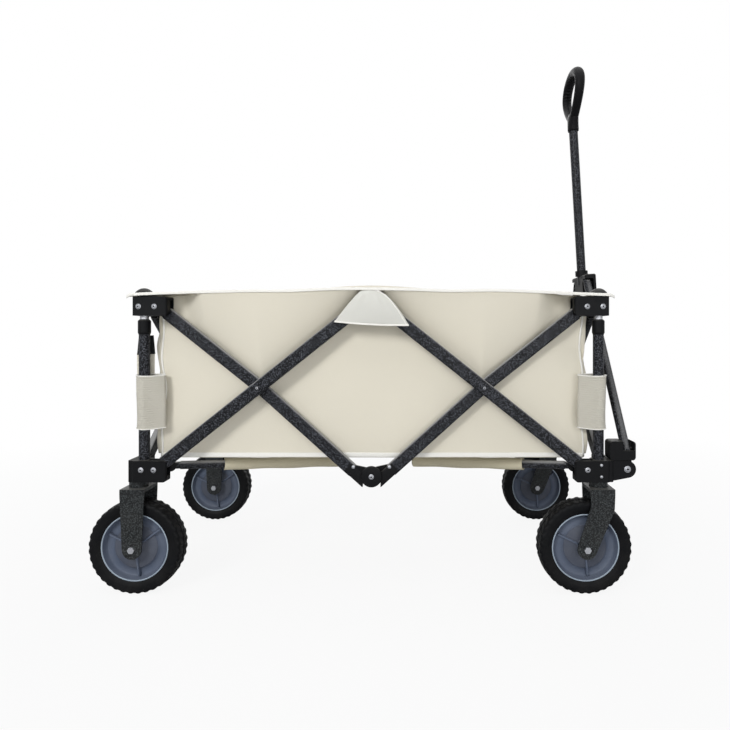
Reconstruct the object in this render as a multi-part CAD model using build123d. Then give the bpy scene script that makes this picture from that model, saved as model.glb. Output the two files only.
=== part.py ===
from build123d import *
import math
import os

# Folding wagon: four telescoping corner posts joined by scissor bars on every side,
# fabric tub inside, casters below and a two-legged pull handle at the front (+X).
# Sizes in mm, X forward, Y to the left, Z up, ground at Z = 0.

# Scissor frame
outer_arm = 245.5
hub_arm = 272.4
open_angle = 38.5
low_pivot_z = 233.0
pivot_inset = 25.5
bar_high = 24.0
bar_deep = 14.0
bar_wall = 1.5
bar_corner = 4.0
layer_pitch = 15.0
eye_radius = 12.0
hub_radius = 14.0
pin_radius = 4.0
pin_gap = 0.05
plug_reach = 34.0
tube_setback = 20.0
hub_setback = 36.0
riser_hub_setback = 46.0
seat_proud = 4.0
seat_grip = 16.0
plug_slack = 0.1
plug_lap = 4.0
lap_gap = 0.6
lap_inset = 1.0
inner_bar_bend = 3.5
bolt_head_high = 1.4

open_rad = math.radians(open_angle)
half_length = (outer_arm + hub_arm) * math.cos(open_rad)
half_width = outer_arm * math.cos(open_rad)
pivot_rise = 2 * outer_arm * math.sin(open_rad)
high_pivot_z = low_pivot_z + pivot_rise
post_x = half_length + pivot_inset
post_y = half_width + pivot_inset
side_outer_layer = -layer_pitch / 2
side_inner_layer = layer_pitch / 2
end_outer_layer = -12.5
end_inner_layer = end_outer_layer + layer_pitch

# Corner posts and brackets
post_radius = 10.0
post_wall = 1.4
inner_post_radius = 8.0
inner_post_wall = 1.2
inner_post_low = 285.0
post_foot_z = 234.0
collar_low = 486.0
collar_high = 515.0
collar_radius = 11.6
collar_lip = 10.0
collar_foot = 4.0
collar_chamfer = 3.0
post_slide = 0.5
cheek = 4.5
slot_gap = 0.35
eye_room = 1.2
wing_reach = 49.0
core_radius = 16.5
wing_corner = 5.0
wing_end_corner = 6.0
low_bracket_low = -23.0
low_bracket_high = 17.0
high_bracket_low = -17.0
high_bracket_high = 19.0
slot_floor = 13.2
cap_radius = 16.5
cap_high = 10.0
cap_neck_radius = 7.0
rim_gap = 6.4
lug_x = 40.0
lug_y = 22.0
lug_ear = 5.0
lug_gap = 10.8
lug_radius = 10.0
lug_root_radius = 12.0
lug_root_back = 6.0
lug_root_drop = 4.0

# Floor struts
strut_radius = 8.0
strut_wall = 1.2
strut_length = 335.0
strut_drop = 4.0
strut_pin = 3.0
strut_eye_half = 5.0
strut_neck = 18.0
strut_plug = 31.0
strut_cap = 4.0
strut_turn = math.degrees(math.atan2(half_width, half_length))

# Casters
wheel_radius = 87.5
tyre_wide = 42.0
rim_radius = 63.0
hub_wide = 40.0
axle_radius = 4.0
fork_wide = 58.0
fork_plate = 3.0
fork_top_z = 199.0
fork_top_long = 45.0
fork_end_radius = 18.0
fork_crown = 6.0
fork_waist_drop = 34.0
fork_waist_radius = 21.5
fork_band = 10.0
race_gap = 0.4
axle_nut_radius = 6.5
axle_nut_high = 4.0
caster_trail = 29.0
rear_caster_back = 10.5
race_radius = 17.0
stem_radius = 4.5
stem_top_z = 232.0

# Pull handle
nose_pin_x = 51.0
nose_radius = 16.0
nose_gap = 13.0
nose_cheek = 6.0
nose_root_radius = 20.0
nose_root_x = 14.0
nose_root_drop = 3.0
nose_room = 8.0
leg_pivot_x = 52.0
leg_pivot_z = 268.0
handle_lean = 3.3
leg_radius = 8.5
leg_wall = 1.4
leg_top_y = 40.0
leg_rise = 332.0
block_low = 250.4
block_high = 286.0
block_back = 33.5
block_front = 14.5
block_half = 15.5
block_corner = 6.0
tongue_half_long = 10.0
tongue_gap = 0.4
leg_seat_gap = 1.6
leg_plug = 24.0
yoke_seat_gap = 1.0
yoke_wide = 110.0
yoke_deep = 24.0
yoke_forward = 4.0
yoke_drop = 18.0
yoke_corner = 5.0
yoke_edge = 4.0
yoke_neck_high = 12.0
tube_socket = 20.0
yoke_high = 38.0
pull_radius = 9.75
pull_top_z = 950.0
grip_top_z = 1091.0
grip_wide = 100.0
grip_deep = 30.0
grip_bar_high = 44.0
grip_neck_wide = 30.0
grip_neck_high = 48.0
grip_edge = 6.0
grip_socket_radius = 14.0
grip_socket_high = 24.0
ridge_pitch = 16.0
ridge_radius = 6.0

# Fabric tub
cloth = 3.0
wall_inset_y = 24.1
wall_inset_x = 19.5
hem_z = 247.0
rim_low = 559.0
rim_bow = 12.0
rim_overhang = 22.0
rim_past_post = 24.0
end_rim_past_post = 20.0
cap_hole_radius = 8.0
sleeve_low = 309.0
sleeve_high = 409.0
flap_half = 72.0
flap_low = 503.0
flap_rise = 6.0
flap_cloth = 2.0
sleeve_cloth = 1.6
sleeve_gap = 1.0
sleeve_tail_x = 32.0
sleeve_tail_y = 8.0
sleeve_tail_radius = 4.0

# The box of the whole wagon is centred on the frame's origin.
frame_shift = (wheel_radius + rear_caster_back - nose_pin_x - nose_radius) / 2


def group(pieces):
    """Several separate solids kept together in one node."""
    return Compound([solid for piece in pieces for solid in piece.solids()])


def rounded_bar(start, stop, high, deep, corner):
    """Solid bar along X with rounded long edges."""
    section = Plane.YZ * RectangleRounded(deep, high, corner)
    return Pos(start, 0, 0) * extrude(section, stop - start)


def bent_bar(start, stop, bend, high, deep, corner):
    """Bar along X that bends down by an angle at the crossing."""
    section = Plane.YZ * RectangleRounded(deep, high, corner)
    drop = math.radians(bend)
    far = stop - outer_arm
    foot = (outer_arm + far * math.cos(drop), 0, -far * math.sin(drop))
    path = Polyline((start, 0, 0), (outer_arm, 0, 0), foot)
    return sweep(Pos(start, 0, 0) * section, path=path, transition=Transition.RIGHT)


def square_tube(start, stop, bend=0.0):
    """Outside and hollow of a rectangular steel tube."""
    sizes = (bar_high - 2 * bar_wall, bar_deep - 2 * bar_wall, bar_corner - bar_wall)
    if bend:
        skin = bent_bar(start, stop, bend, bar_high, bar_deep, bar_corner)
        return skin, bent_bar(start - 1, stop + 1, bend, *sizes)
    skin = rounded_bar(start, stop, bar_high, bar_deep, bar_corner)
    return skin, rounded_bar(start - 1, stop + 1, *sizes)


def cross_pin(x, radius, low, high):
    """Round pin along Y."""
    return Pos(x, (low + high) / 2, 0) * Rot(90, 0, 0) * Cylinder(radius, high - low)


def eye_plug(low, high):
    """Moulded tube end: an eye at the origin and a shank that fits inside the tube along +X."""
    shank_high = bar_high - 2 * bar_wall - 2 * plug_slack
    shank_deep = bar_deep - 2 * bar_wall - 2 * plug_slack
    eye = cross_pin(0, eye_radius, low, high)
    neck_deep = min(high - low, shank_deep)
    neck = Pos(tube_setback / 2, (low + high) / 2, 0) * Box(tube_setback, neck_deep, shank_high)
    shank = rounded_bar(tube_setback - plug_lap, plug_reach, shank_high, shank_deep, bar_corner - bar_wall)
    hole = cross_pin(0, pin_radius + pin_gap, low - bar_deep, high + bar_deep)
    return eye + neck + shank - hole


def side_bar(inner, half):
    """Bar from its bracket eye at the origin along +X to its hub eye, at the open frame's angle level."""
    bend = inner_bar_bend if inner else 0.0
    setback = hub_setback if inner else riser_hub_setback
    turn = Pos(outer_arm, 0, 0) * Rot(0, bend, 0) * Pos(-outer_arm, 0, 0)
    tube_stop = outer_arm + hub_arm - setback
    skin, core = square_tube(tube_setback, tube_stop, bend)
    tube = skin - core - cross_pin(outer_arm, pin_radius + pin_gap, -bar_deep, bar_deep)
    plug = eye_plug(-bar_deep / 2, bar_deep / 2)
    low, high = (-bar_deep / 2, -lap_gap / 2) if half < 0 else (lap_gap / 2, bar_deep / 2)
    hub = Pos(outer_arm + hub_arm, 0, 0)
    sag = (hub_arm - setback) * math.tan(math.radians(bend))
    foot = Pos(-setback, -sag) * Circle(bar_high / 2 - lap_inset)
    plan = make_hull((Sketch() + Circle(hub_radius) + foot).edges())
    lap = hub * Pos(0, high, 0) * extrude(Plane.XZ * plan, high - low)
    inside = bar_wall + plug_slack
    seat_sizes = (bar_high - 2 * inside, bar_deep - 2 * inside, bar_corner - inside)
    seat = turn * rounded_bar(tube_stop - seat_grip, tube_stop + seat_proud, *seat_sizes)
    fitting = lap + seat - turn * near_clear(tube_stop)
    hub_hole = hub * cross_pin(0, pin_radius + pin_gap, -bar_deep, bar_deep)
    pieces = [tube, plug, fitting - hub_hole]
    head = bar_deep / 2 + bolt_head_high
    if not inner:
        pieces.append(cross_pin(outer_arm, pin_radius, -head, head + layer_pitch))
    if half < 0:
        pieces.append(hub * cross_pin(0, pin_radius, -head, head))
    return group(pieces)


def near_clear(tube_stop):
    """Room that the steel tube's wall takes at its end."""
    skin, core = square_tube(tube_stop - plug_reach, tube_stop)
    return skin - core


def end_bar(outer):
    """Bar with an eye at both ends, from the origin along +X."""
    span = 2 * outer_arm
    skin, core = square_tube(tube_setback, span - tube_setback)
    tube = skin - core - cross_pin(outer_arm, pin_radius + pin_gap, -bar_deep, bar_deep)
    plug = eye_plug(-bar_deep / 2, bar_deep / 2)
    far_plug = Pos(span, 0, 0) * Rot(0, 0, 180) * plug
    pieces = [tube, plug, far_plug]
    if outer:
        head = bar_deep / 2 + bolt_head_high
        pieces.append(cross_pin(outer_arm, pin_radius, -head, head + layer_pitch))
    return group(pieces)


def at_corner(shape, end, side):
    """Moves a piece drawn about its post, inward axes positive, to one of the four corners."""
    if end == "front":
        shape = mirror(shape, about=Plane.YZ)
    if side == "left":
        shape = mirror(shape, about=Plane.XZ)
    x = post_x if end == "front" else -post_x
    y = post_y if side == "left" else -post_y
    return Pos(x, y, 0) * shape


def bracket_block(side_layer, end_layer, low, high):
    """L-shaped moulded block about the post, flat outside, with a wing for the side bar and one for the end bar."""
    half = bar_deep / 2 + slot_gap + cheek
    long = wing_reach + core_radius
    mid = (wing_reach - core_radius) / 2
    side_face = min(side_layer - half, -core_radius)
    end_face = min(end_layer - half, -core_radius)
    side_deep = side_layer + half - side_face
    end_deep = end_layer + half - end_face
    side_wing = Pos(mid, side_face + side_deep / 2) * RectangleRounded(long, side_deep, wing_corner)
    end_wing = Pos(end_face + end_deep / 2, mid) * RectangleRounded(end_deep, long, wing_corner)
    plan = Circle(core_radius) + side_wing + end_wing
    return Pos(0, 0, low) * extrude(plan, high - low)


def bracket_slots(side_layer, end_layer, low, high):
    wide = bar_deep + 2 * slot_gap
    start = pivot_inset - eye_radius - eye_room
    reach = 2 * wing_reach
    mid = (low + high) / 2
    side_slot = Pos(start + reach / 2, side_layer, mid) * Box(reach, wide, high - low)
    end_slot = Pos(end_layer, start + reach / 2, mid) * Box(wide, reach, high - low)
    return side_slot + end_slot


def bracket_pins(side_layer, end_layer):
    half = bar_deep / 2 + slot_gap + cheek
    side_pin = Pos(0, side_layer, 0) * cross_pin(pivot_inset, pin_radius, -half, half)
    end_pin = Pos(end_layer, pivot_inset, 0) * Rot(0, 90, 0) * Cylinder(pin_radius, 2 * half)
    return side_pin + end_pin


def end_corners(side_layer, low, high):
    """What is cut away to round the corners of the side wing's free end, seen from the side."""
    mid = (low + high) / 2
    span = high - low
    wide = 4 * core_radius
    end_box = Pos(wing_reach, side_layer, mid) * Box(2 * wing_end_corner, wide, span + 2)
    outline = Pos(0, mid) * RectangleRounded(2 * wing_reach, span, wing_end_corner)
    return end_box - Pos(0, side_layer, 0) * extrude(Plane.XZ * outline, wide, both=True)


def strut_lug():
    """Two ears that hold a floor strut, on the diagonal towards the middle of the floor."""
    root = Pos(lug_root_back - math.hypot(lug_x, lug_y), -lug_root_drop) * Circle(lug_root_radius)
    ear_plan = make_hull((Sketch() + Circle(lug_radius) + root).edges())
    outside = lug_gap / 2 + lug_ear
    ears = Pos(0, outside, 0) * extrude(Plane.XZ * ear_plan, 2 * outside)
    ears -= Box(2 * lug_radius + 2 * lug_root_drop, lug_gap, 4 * lug_root_radius)
    ears += cross_pin(0, strut_pin, -outside, outside)
    return Pos(lug_x, lug_y, 0) * Rot(0, 0, strut_turn) * ears


def handle_nose():
    """Two cheeks in front of the post that carry the pull handle's hinge block."""
    side = nose_gap / 2 + nose_cheek
    root = Pos(nose_pin_x - nose_root_x, -nose_root_drop) * Circle(nose_root_radius)
    plan = make_hull((Sketch() + Circle(nose_radius) + root).edges())
    cheeks = Pos(0, side, 0) * extrude(Plane.XZ * plan, 2 * side)
    cheeks -= Pos(-nose_room / 2, 0, 0) * Box(2 * (nose_radius + nose_room), nose_gap, 4 * nose_radius)
    cheeks += cross_pin(0, pin_radius, -side, side)
    return Pos(-nose_pin_x, 0, 0) * cheeks


def low_bracket(end, side):
    end_layer = end_outer_layer if side == "right" else end_inner_layer
    body = bracket_block(side_outer_layer, end_layer, low_bracket_low, low_bracket_high)
    body -= end_corners(side_outer_layer, low_bracket_low, low_bracket_high)
    body += strut_lug()
    if end == "front":
        body += handle_nose()
    body -= bracket_slots(side_outer_layer, end_layer, -slot_floor, low_bracket_high + 1)
    body += bracket_pins(side_outer_layer, end_layer)
    foot = post_foot_z - low_pivot_z
    body -= Pos(0, 0, foot + low_bracket_high) * Cylinder(post_radius, 2 * low_bracket_high)
    back = rear_caster_back if end == "rear" else 0.0
    stem_hole = Cylinder(stem_radius + pin_gap, 2 * (foot - low_bracket_low))
    body -= Pos(-back, 0, low_bracket_low) * stem_hole
    return at_corner(Pos(0, 0, low_pivot_z) * body, end, side)


def high_bracket(end, side):
    end_layer = end_inner_layer if side == "right" else end_outer_layer
    body = bracket_block(side_inner_layer, end_layer, high_bracket_low, high_bracket_high)
    body -= end_corners(side_inner_layer, high_bracket_low, high_bracket_high)
    body -= bracket_slots(side_inner_layer, end_layer, high_bracket_low - 1, slot_floor)
    body += bracket_pins(side_inner_layer, end_layer)
    body -= Pos(0, 0, high_bracket_low) * Cylinder(inner_post_radius, 2 * (slot_floor - high_bracket_low))
    neck_high = rim_gap + 1
    body += Pos(0, 0, high_bracket_high + neck_high / 2) * Cylinder(cap_neck_radius, neck_high)
    dome_base = high_bracket_high + rim_gap
    ball = (cap_radius**2 + cap_high**2) / (2 * cap_high)
    dome = Pos(0, 0, dome_base + cap_high - ball) * Sphere(ball)
    dome &= Pos(0, 0, dome_base + cap_high / 2) * Cylinder(cap_radius + 1, cap_high)
    return at_corner(Pos(0, 0, high_pivot_z) * (body + dome), end, side)


def tube(radius, wall, low, high):
    ring = Circle(radius) - Circle(radius - wall)
    return Pos(0, 0, low) * extrude(ring, high - low)


def lower_post(end, side):
    post = tube(post_radius, post_wall, post_foot_z, collar_high - collar_lip)
    lip = inner_post_radius + post_slide
    profile = Polyline(
        (post_radius, collar_low),
        (collar_radius - collar_chamfer / 2, collar_low),
        (collar_radius, collar_low + collar_foot),
        (collar_radius, collar_high - collar_chamfer),
        (collar_radius - collar_chamfer, collar_high),
        (lip, collar_high),
        (lip, collar_high - collar_lip),
        (post_radius, collar_high - collar_lip),
        close=True,
    )
    collar = revolve(Plane.XZ * make_face(profile), Axis.Z)
    return at_corner(group([post, collar]), end, side)


def inner_post(end, side):
    top = high_pivot_z + slot_floor
    post = tube(inner_post_radius, inner_post_wall, inner_post_low, top)
    return at_corner(post, end, side)


def fork_side(trail):
    """Side plate outline: wide at the crown, narrowing to a round end about the axle."""
    drop = fork_top_z - wheel_radius
    crown = Pos(0, drop - fork_band / 2) * Rectangle(fork_top_long, fork_band)
    waist = Pos(0, drop - fork_waist_drop) * Circle(fork_waist_radius)
    end = Pos(trail, 0) * Circle(fork_end_radius)
    upper = make_hull((Sketch() + crown + waist).edges())
    lower = make_hull((Sketch() + waist + end).edges())
    return upper + lower


def fork(end, side):
    trail = caster_trail if end == "front" else 0.0
    half = fork_wide / 2
    plate = extrude(Plane.XZ * fork_side(trail), fork_plate)
    near = Pos(0, -half + fork_plate, 0) * plate
    far = Pos(0, half, 0) * plate
    drop = fork_top_z - wheel_radius
    crown = Pos(0, 0, drop - fork_crown / 2) * Box(fork_top_long, fork_wide, fork_crown)
    edges = crown.edges().filter_by(Axis.X).group_by(Axis.Z)[-1]
    crown = fillet(edges, fork_crown - 1)
    race_high = low_pivot_z + low_bracket_low - fork_top_z - race_gap
    race = Pos(0, 0, drop + race_high / 2) * Cylinder(race_radius, race_high)
    stem_high = stem_top_z - fork_top_z
    stem = Pos(0, 0, drop + stem_high / 2) * Cylinder(stem_radius, stem_high)
    hole = cross_pin(trail, axle_radius, -half - 1, half + 1)
    body = near + far + crown - hole + race + stem
    head = Rot(90, 0, 0) * extrude(RegularPolygon(axle_nut_radius, 6), axle_nut_high)
    axle = cross_pin(trail, axle_radius, -half, half)
    axle += Pos(trail, -half, 0) * head
    axle += Pos(trail, half + axle_nut_high, 0) * head
    back = rear_caster_back if end == "rear" else 0.0
    return at_corner(Pos(-back, 0, wheel_radius) * group([body, axle]), end, side)


def wheel_place(end, side):
    x = post_x - caster_trail if end == "front" else -post_x - rear_caster_back
    y = post_y if side == "left" else -post_y
    return Pos(x, y, wheel_radius)


def tyre(end, side):
    """Rounded tyre with a flat bead face and three grooves round its tread."""
    half = tyre_wide / 2
    bead = half - 3.5
    bulge = rim_radius + 9
    shoulder = wheel_radius - 9
    groove_wide = 2.6
    groove_deep = 2.2
    groove_pitch = 8.5
    crown_fall = 0.22
    profile = Sketch() + make_face(
        Curve()
        + Line((-bead, rim_radius), (bead, rim_radius))
        + ThreePointArc((bead, rim_radius), (half, bulge), (half - 1, shoulder))
        + ThreePointArc((half - 1, shoulder), (0, wheel_radius), (-half + 1, shoulder))
        + ThreePointArc((-half + 1, shoulder), (-half, bulge), (-bead, rim_radius))
    )
    for x in (-groove_pitch, 0, groove_pitch):
        profile -= Pos(x, wheel_radius) * Rectangle(groove_wide, 2 * (groove_deep + abs(x) * crown_fall))
    ring = revolve(profile, Axis.X)
    return wheel_place(end, side) * Rot(0, 0, 90) * ring


def hub(end, side):
    """Dished wheel centre: rim ring, thin web, boss and three ribs on each face."""
    half = hub_wide / 2
    lip = rim_radius - 7.5
    boss = 15.0
    web = 7.0
    boss_foot = 12.0
    bead = half - 2.5
    shelf = half - 4.0
    rib_wide = 3.2
    outline = Polyline(
        (-half, axle_radius + pin_gap),
        (-half, boss),
        (-boss_foot, boss + 6),
        (-web, lip - 8),
        (-shelf, lip),
        (-bead, rim_radius),
        (bead, rim_radius),
        (shelf, lip),
        (web, lip - 8),
        (boss_foot, boss + 6),
        (half, boss),
        (half, axle_radius + pin_gap),
        close=True,
    )
    body = revolve(make_face(outline), Axis.X)
    rib_long = lip - boss + 2
    rib = Pos(0, boss + rib_long / 2 - 1, 0) * Box(2 * shelf - rib_wide, rib_long, rib_wide)
    for turn in (0, 120, 240):
        body += Rot(turn, 0, 0) * rib
    return wheel_place(end, side) * Rot(0, 0, 90) * body


def strut(end, side):
    eye = cross_pin(0, lug_radius - 1, -strut_eye_half, strut_eye_half)
    neck = Pos(strut_neck / 2, 0, 0) * Box(strut_neck, 2 * strut_eye_half, 1.5 * strut_radius)
    plug_radius = strut_radius - strut_wall - plug_slack
    plug_long = strut_plug - strut_neck + plug_lap
    plug = Pos(strut_plug - plug_long / 2, 0, 0) * Rot(0, 90, 0) * Cylinder(plug_radius, plug_long)
    fitting = eye + neck + plug - cross_pin(0, strut_pin + pin_gap, -lug_radius, lug_radius)
    sleeve = Rot(0, 90, 0) * tube(strut_radius, strut_wall, strut_neck, strut_length - strut_cap)
    cap = Pos(strut_length - strut_cap / 2, 0, 0) * Rot(0, 90, 0) * Cylinder(strut_radius, strut_cap)
    bar = Rot(0, 0, strut_turn) * Rot(0, strut_drop, 0) * group([fitting, sleeve, cap])
    return at_corner(Pos(lug_x, lug_y, low_pivot_z) * bar, end, side)


def lean_place():
    """The handle's own upright plane: origin at the middle of the leg pivots, Z along the pull tube."""
    return Pos(post_x + leg_pivot_x, 0, leg_pivot_z) * Rot(0, -handle_lean, 0)


def hinge_block(side):
    """Socket block over the nose: a tongue on the nose pin and a slot across for the leg's foot."""
    y = post_y if side == "left" else -post_y
    tongue_half = nose_gap / 2 - tongue_gap
    pin_z = low_pivot_z
    rise = block_high - pin_z
    body = Pos(0, block_half, 0) * extrude(
        Plane.XZ
        * Pos((block_front - block_back) / 2, (block_low + block_high) / 2 - pin_z)
        * RectangleRounded(block_front + block_back, block_high - block_low, block_corner),
        2 * block_half,
    )
    tongue = cross_pin(0, nose_radius - 1.5, -tongue_half, tongue_half)
    tongue += Pos(0, 0, rise / 4) * Box(2 * tongue_half_long, 2 * tongue_half, rise / 2)
    leg_x = leg_pivot_x - nose_pin_x
    leg_z = leg_pivot_z - pin_z
    seat = leg_radius + leg_seat_gap
    slot = Pos(leg_x, 0, leg_z + rise / 2) * Box(2 * seat, 4 * block_half, rise)
    slot += Pos(leg_x, 0, leg_z) * Rot(0, 90, 0) * Cylinder(seat, 2 * seat)
    slot += Pos(leg_x, 2 * block_half, leg_z) * Box(2 * seat, 4 * block_half, 2 * seat)
    slot = slot if side == "right" else mirror(slot, about=Plane.XZ)
    pin = Pos(leg_x, 0, leg_z) * Rot(0, 90 - handle_lean, 0) * Cylinder(pin_radius, 2 * seat + 4)
    block = body + tongue - cross_pin(0, pin_radius + pin_gap, -block_half, block_half) - slot + pin
    return Pos(post_x + nose_pin_x, y, pin_z) * block


def leg(side):
    sign = 1 if side == "left" else -1
    reach = post_y - leg_top_y
    tilt = math.degrees(math.atan2(reach, leg_rise))
    length = math.hypot(reach, leg_rise)
    pipe = tube(leg_radius, leg_wall, leg_radius, length - leg_radius)
    foot = Rot(0, 90, 0) * Cylinder(leg_radius, 2 * leg_radius) & Cylinder(leg_radius, 2 * leg_radius)
    foot += Pos(0, 0, leg_plug / 2) * Cylinder(leg_radius - leg_wall - plug_slack, leg_plug)
    foot += Pos(0, 0, leg_radius / 2) * Cylinder(leg_radius, leg_radius)
    eye = Rot(0, 90, 0) * Cylinder(pin_radius + pin_gap, 4 * leg_radius)
    foot -= eye
    head = Pos(0, 0, length) * Rot(180, 0, 0) * foot
    whole = group([pipe, foot, head])
    return lean_place() * Pos(0, sign * post_y, 0) * Rot(sign * tilt, 0, 0) * whole


def yoke():
    """Cross block that joins the legs to the pull tube, with an arched recess in each end."""
    low = leg_rise - yoke_drop
    body = Pos(yoke_forward, 0, low + yoke_high / 2) * Box(yoke_deep, yoke_wide, yoke_high)
    body = fillet(body.edges().filter_by(Axis.Z), yoke_corner)
    body = fillet(body.edges().group_by(Axis.Z)[-1], yoke_edge)
    seat = leg_radius + yoke_seat_gap
    crest = seat + yoke_seat_gap
    end_long = yoke_wide / 2 - leg_top_y + crest
    arch = Pos(0, leg_top_y, leg_rise) * Rot(0, 90, 0) * Cylinder(crest, 2 * seat)
    arch += Pos(0, leg_top_y + end_long / 2, leg_rise) * Box(2 * seat, end_long, 2 * crest)
    arch += Pos(0, leg_top_y + end_long / 2 - crest / 2, low) * Box(2 * seat, end_long + crest, 2 * yoke_drop)
    body -= arch
    body -= mirror(arch, about=Plane.XZ)
    pin_place = Pos(yoke_forward, -leg_top_y, leg_rise) * Rot(0, 90, 0)
    body += pin_place * Cylinder(pin_radius, yoke_deep)
    neck = Pos(0, 0, low + yoke_high + yoke_neck_high / 2) * Cylinder(pull_radius + yoke_edge, yoke_neck_high)
    bore = Pos(0, 0, low + yoke_high) * Cylinder(pull_radius, 2 * tube_socket)
    return lean_place() * (body + neck - bore)


def pull_tube():
    low = leg_rise - yoke_drop + yoke_high - tube_socket
    high = pull_top_z - leg_pivot_z
    return lean_place() * tube(pull_radius, leg_wall, low, high)


def grip():
    """Loop grip: socket, two arms that spread into a loop, and a ridged bar across the top."""
    low = pull_top_z - leg_pivot_z
    high = grip_top_z - leg_pivot_z
    tall = high - low
    half = grip_wide / 2
    top = Pos(0, tall - grip_bar_high / 2) * RectangleRounded(grip_wide, grip_bar_high, 20)
    neck = Pos(0, grip_neck_high / 2) * RectangleRounded(grip_neck_wide, grip_neck_high, 8)
    outer = make_hull((top + neck).edges())
    corner = Pos(half - 31, tall - 41) * Circle(11)
    throat = Pos(0, 55) * Circle(12)
    hole = make_hull((Sketch() + corner + mirror(corner, about=Plane.YZ) + throat).edges())
    loop = Pos(0, 0, low) * extrude(Plane.YZ * (outer - hole), grip_deep / 2, both=True)
    loop = fillet(loop.edges().filter_by(Axis.X, reverse=True).group_by(Axis.X)[-1], grip_edge)
    loop = fillet(loop.edges().filter_by(Axis.X, reverse=True).group_by(Axis.X)[0], grip_edge)
    socket = Pos(0, 0, low + grip_socket_high / 2) * Cylinder(grip_socket_radius, grip_socket_high)
    ridge_z = high - 30
    for step in (-1.5, -0.5, 0.5, 1.5):
        ridge = Rot(0, 90, 0) * Cylinder(ridge_radius, grip_deep / 2)
        loop += Pos(0, step * ridge_pitch, ridge_z) * ridge
    return lean_place() * (loop + socket)


def rim_strip(long_half, bow, low_y, high_y):
    """Hemmed rim along X that bows up between the corners."""
    low = (
        Curve()
        + ThreePointArc((-long_half, rim_low), (0, rim_low + bow), (long_half, rim_low))
        + Line((long_half, rim_low), (long_half, rim_low + cloth))
        + ThreePointArc(
            (long_half, rim_low + cloth), (0, rim_low + bow + cloth), (-long_half, rim_low + cloth)
        )
        + Line((-long_half, rim_low + cloth), (-long_half, rim_low))
    )
    return Pos(0, high_y, 0) * extrude(Plane.XZ * make_face(low), high_y - low_y)


def post_sleeve(end, side):
    """Fabric loop round the post, drawn in to the tub's corner."""
    tail = Pos(sleeve_tail_x, sleeve_tail_y)
    inner_radius = post_radius + sleeve_gap
    outer_tail = tail * Circle(sleeve_tail_radius)
    inner_tail = tail * Circle(sleeve_tail_radius - sleeve_cloth)
    outside = make_hull((Sketch() + Circle(inner_radius + sleeve_cloth) + outer_tail).edges())
    inside = make_hull((Sketch() + Circle(inner_radius) + inner_tail).edges())
    band = Pos(0, 0, sleeve_low) * extrude(outside - inside, sleeve_high - sleeve_low)
    return at_corner(band, end, side)


def side_panel(side):
    out = -(post_y - wall_inset_y) + cloth
    wall_long = post_x - wall_inset_x - cloth
    wall = Pos(0, out - cloth / 2, (hem_z + rim_low) / 2) * Box(2 * wall_long, cloth, rim_low - hem_z)
    rim = rim_strip(post_x + rim_past_post, rim_bow, -post_y - rim_overhang, out)
    for x in (-post_x, post_x):
        rim -= Pos(x, -post_y, rim_low) * Cylinder(cap_hole_radius, 4 * rim_bow)
    rise = Pos(0, out - cloth / 2, rim_low) * Box(2 * wall_long, cloth, 2 * rim_bow)
    under = rim_strip(post_x + rim_past_post, rim_bow, out - cloth, out)
    rise &= Pos(0, 0, -rim_bow) * under + under
    flap_y = -post_y - rim_overhang
    flap_plan = Polyline(
        (-flap_half, rim_low + rim_bow - flap_cloth),
        (-flap_half * 0.9, flap_low + flap_rise),
        (flap_half, flap_low),
        (flap_half * 0.8, rim_low + rim_bow - flap_cloth),
        close=True,
    )
    flap = Pos(0, flap_y + flap_cloth, 0) * extrude(Plane.XZ * make_face(flap_plan), flap_cloth)
    panel = wall + rim + rise + flap
    if side == "left":
        panel = mirror(panel, about=Plane.XZ)
    sleeves = [post_sleeve("rear", side), post_sleeve("front", side)]
    return group([panel] + sleeves)


def end_panel(end):
    face = -(post_x - wall_inset_x)
    half = post_y - wall_inset_y - cloth
    wall = Pos(face + cloth / 2, 0, (hem_z + rim_low) / 2) * Box(cloth, 2 * half, rim_low - hem_z)
    back = -post_x - end_rim_past_post
    rim_deep = face + cloth - back
    rim = Pos(back + rim_deep / 2, 0, rim_low + cloth / 2) * Box(rim_deep, 2 * half, cloth)
    panel = wall + rim
    return mirror(panel, about=Plane.YZ) if end == "front" else panel


def floor():
    half_x = post_x - wall_inset_x - cloth - 0.5
    half_y = post_y - wall_inset_y - cloth - 0.5
    return Pos(0, 0, hem_z + 1 + cloth / 2) * Box(2 * half_x, 2 * half_y, cloth)


ends = ("rear", "front")
sides = ("right", "left")
nodes = {}

for end in ends:
    for side in sides:
        corner = f"{end}_{side}"
        nodes[f"{corner}_low_bracket"] = low_bracket(end, side)
        nodes[f"{corner}_high_bracket"] = high_bracket(end, side)
        nodes[f"{corner}_lower_post"] = lower_post(end, side)
        nodes[f"{corner}_inner_post"] = inner_post(end, side)
        nodes[f"{corner}_floor_strut"] = strut(end, side)
        nodes[f"{corner}_fork"] = fork(end, side)
        nodes[f"{corner}_tyre"] = tyre(end, side)
        nodes[f"{corner}_hub"] = hub(end, side)

for side in sides:
    for end in ends:
        half = -1 if end == "rear" else 1
        for layer, inner in ((side_outer_layer, False), (side_inner_layer, True)):
            pivot_z = high_pivot_z if inner else low_pivot_z
            angle = open_angle if inner else -open_angle
            bar = Pos(-half_length, -post_y + layer, pivot_z) * Rot(0, angle, 0) * side_bar(inner, half)
            if end == "front":
                bar = mirror(bar, about=Plane.YZ)
            if side == "left":
                bar = mirror(bar, about=Plane.XZ)
            kind = "hanger" if inner else "riser"
            nodes[f"{end}_{side}_{kind}_bar"] = bar

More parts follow.
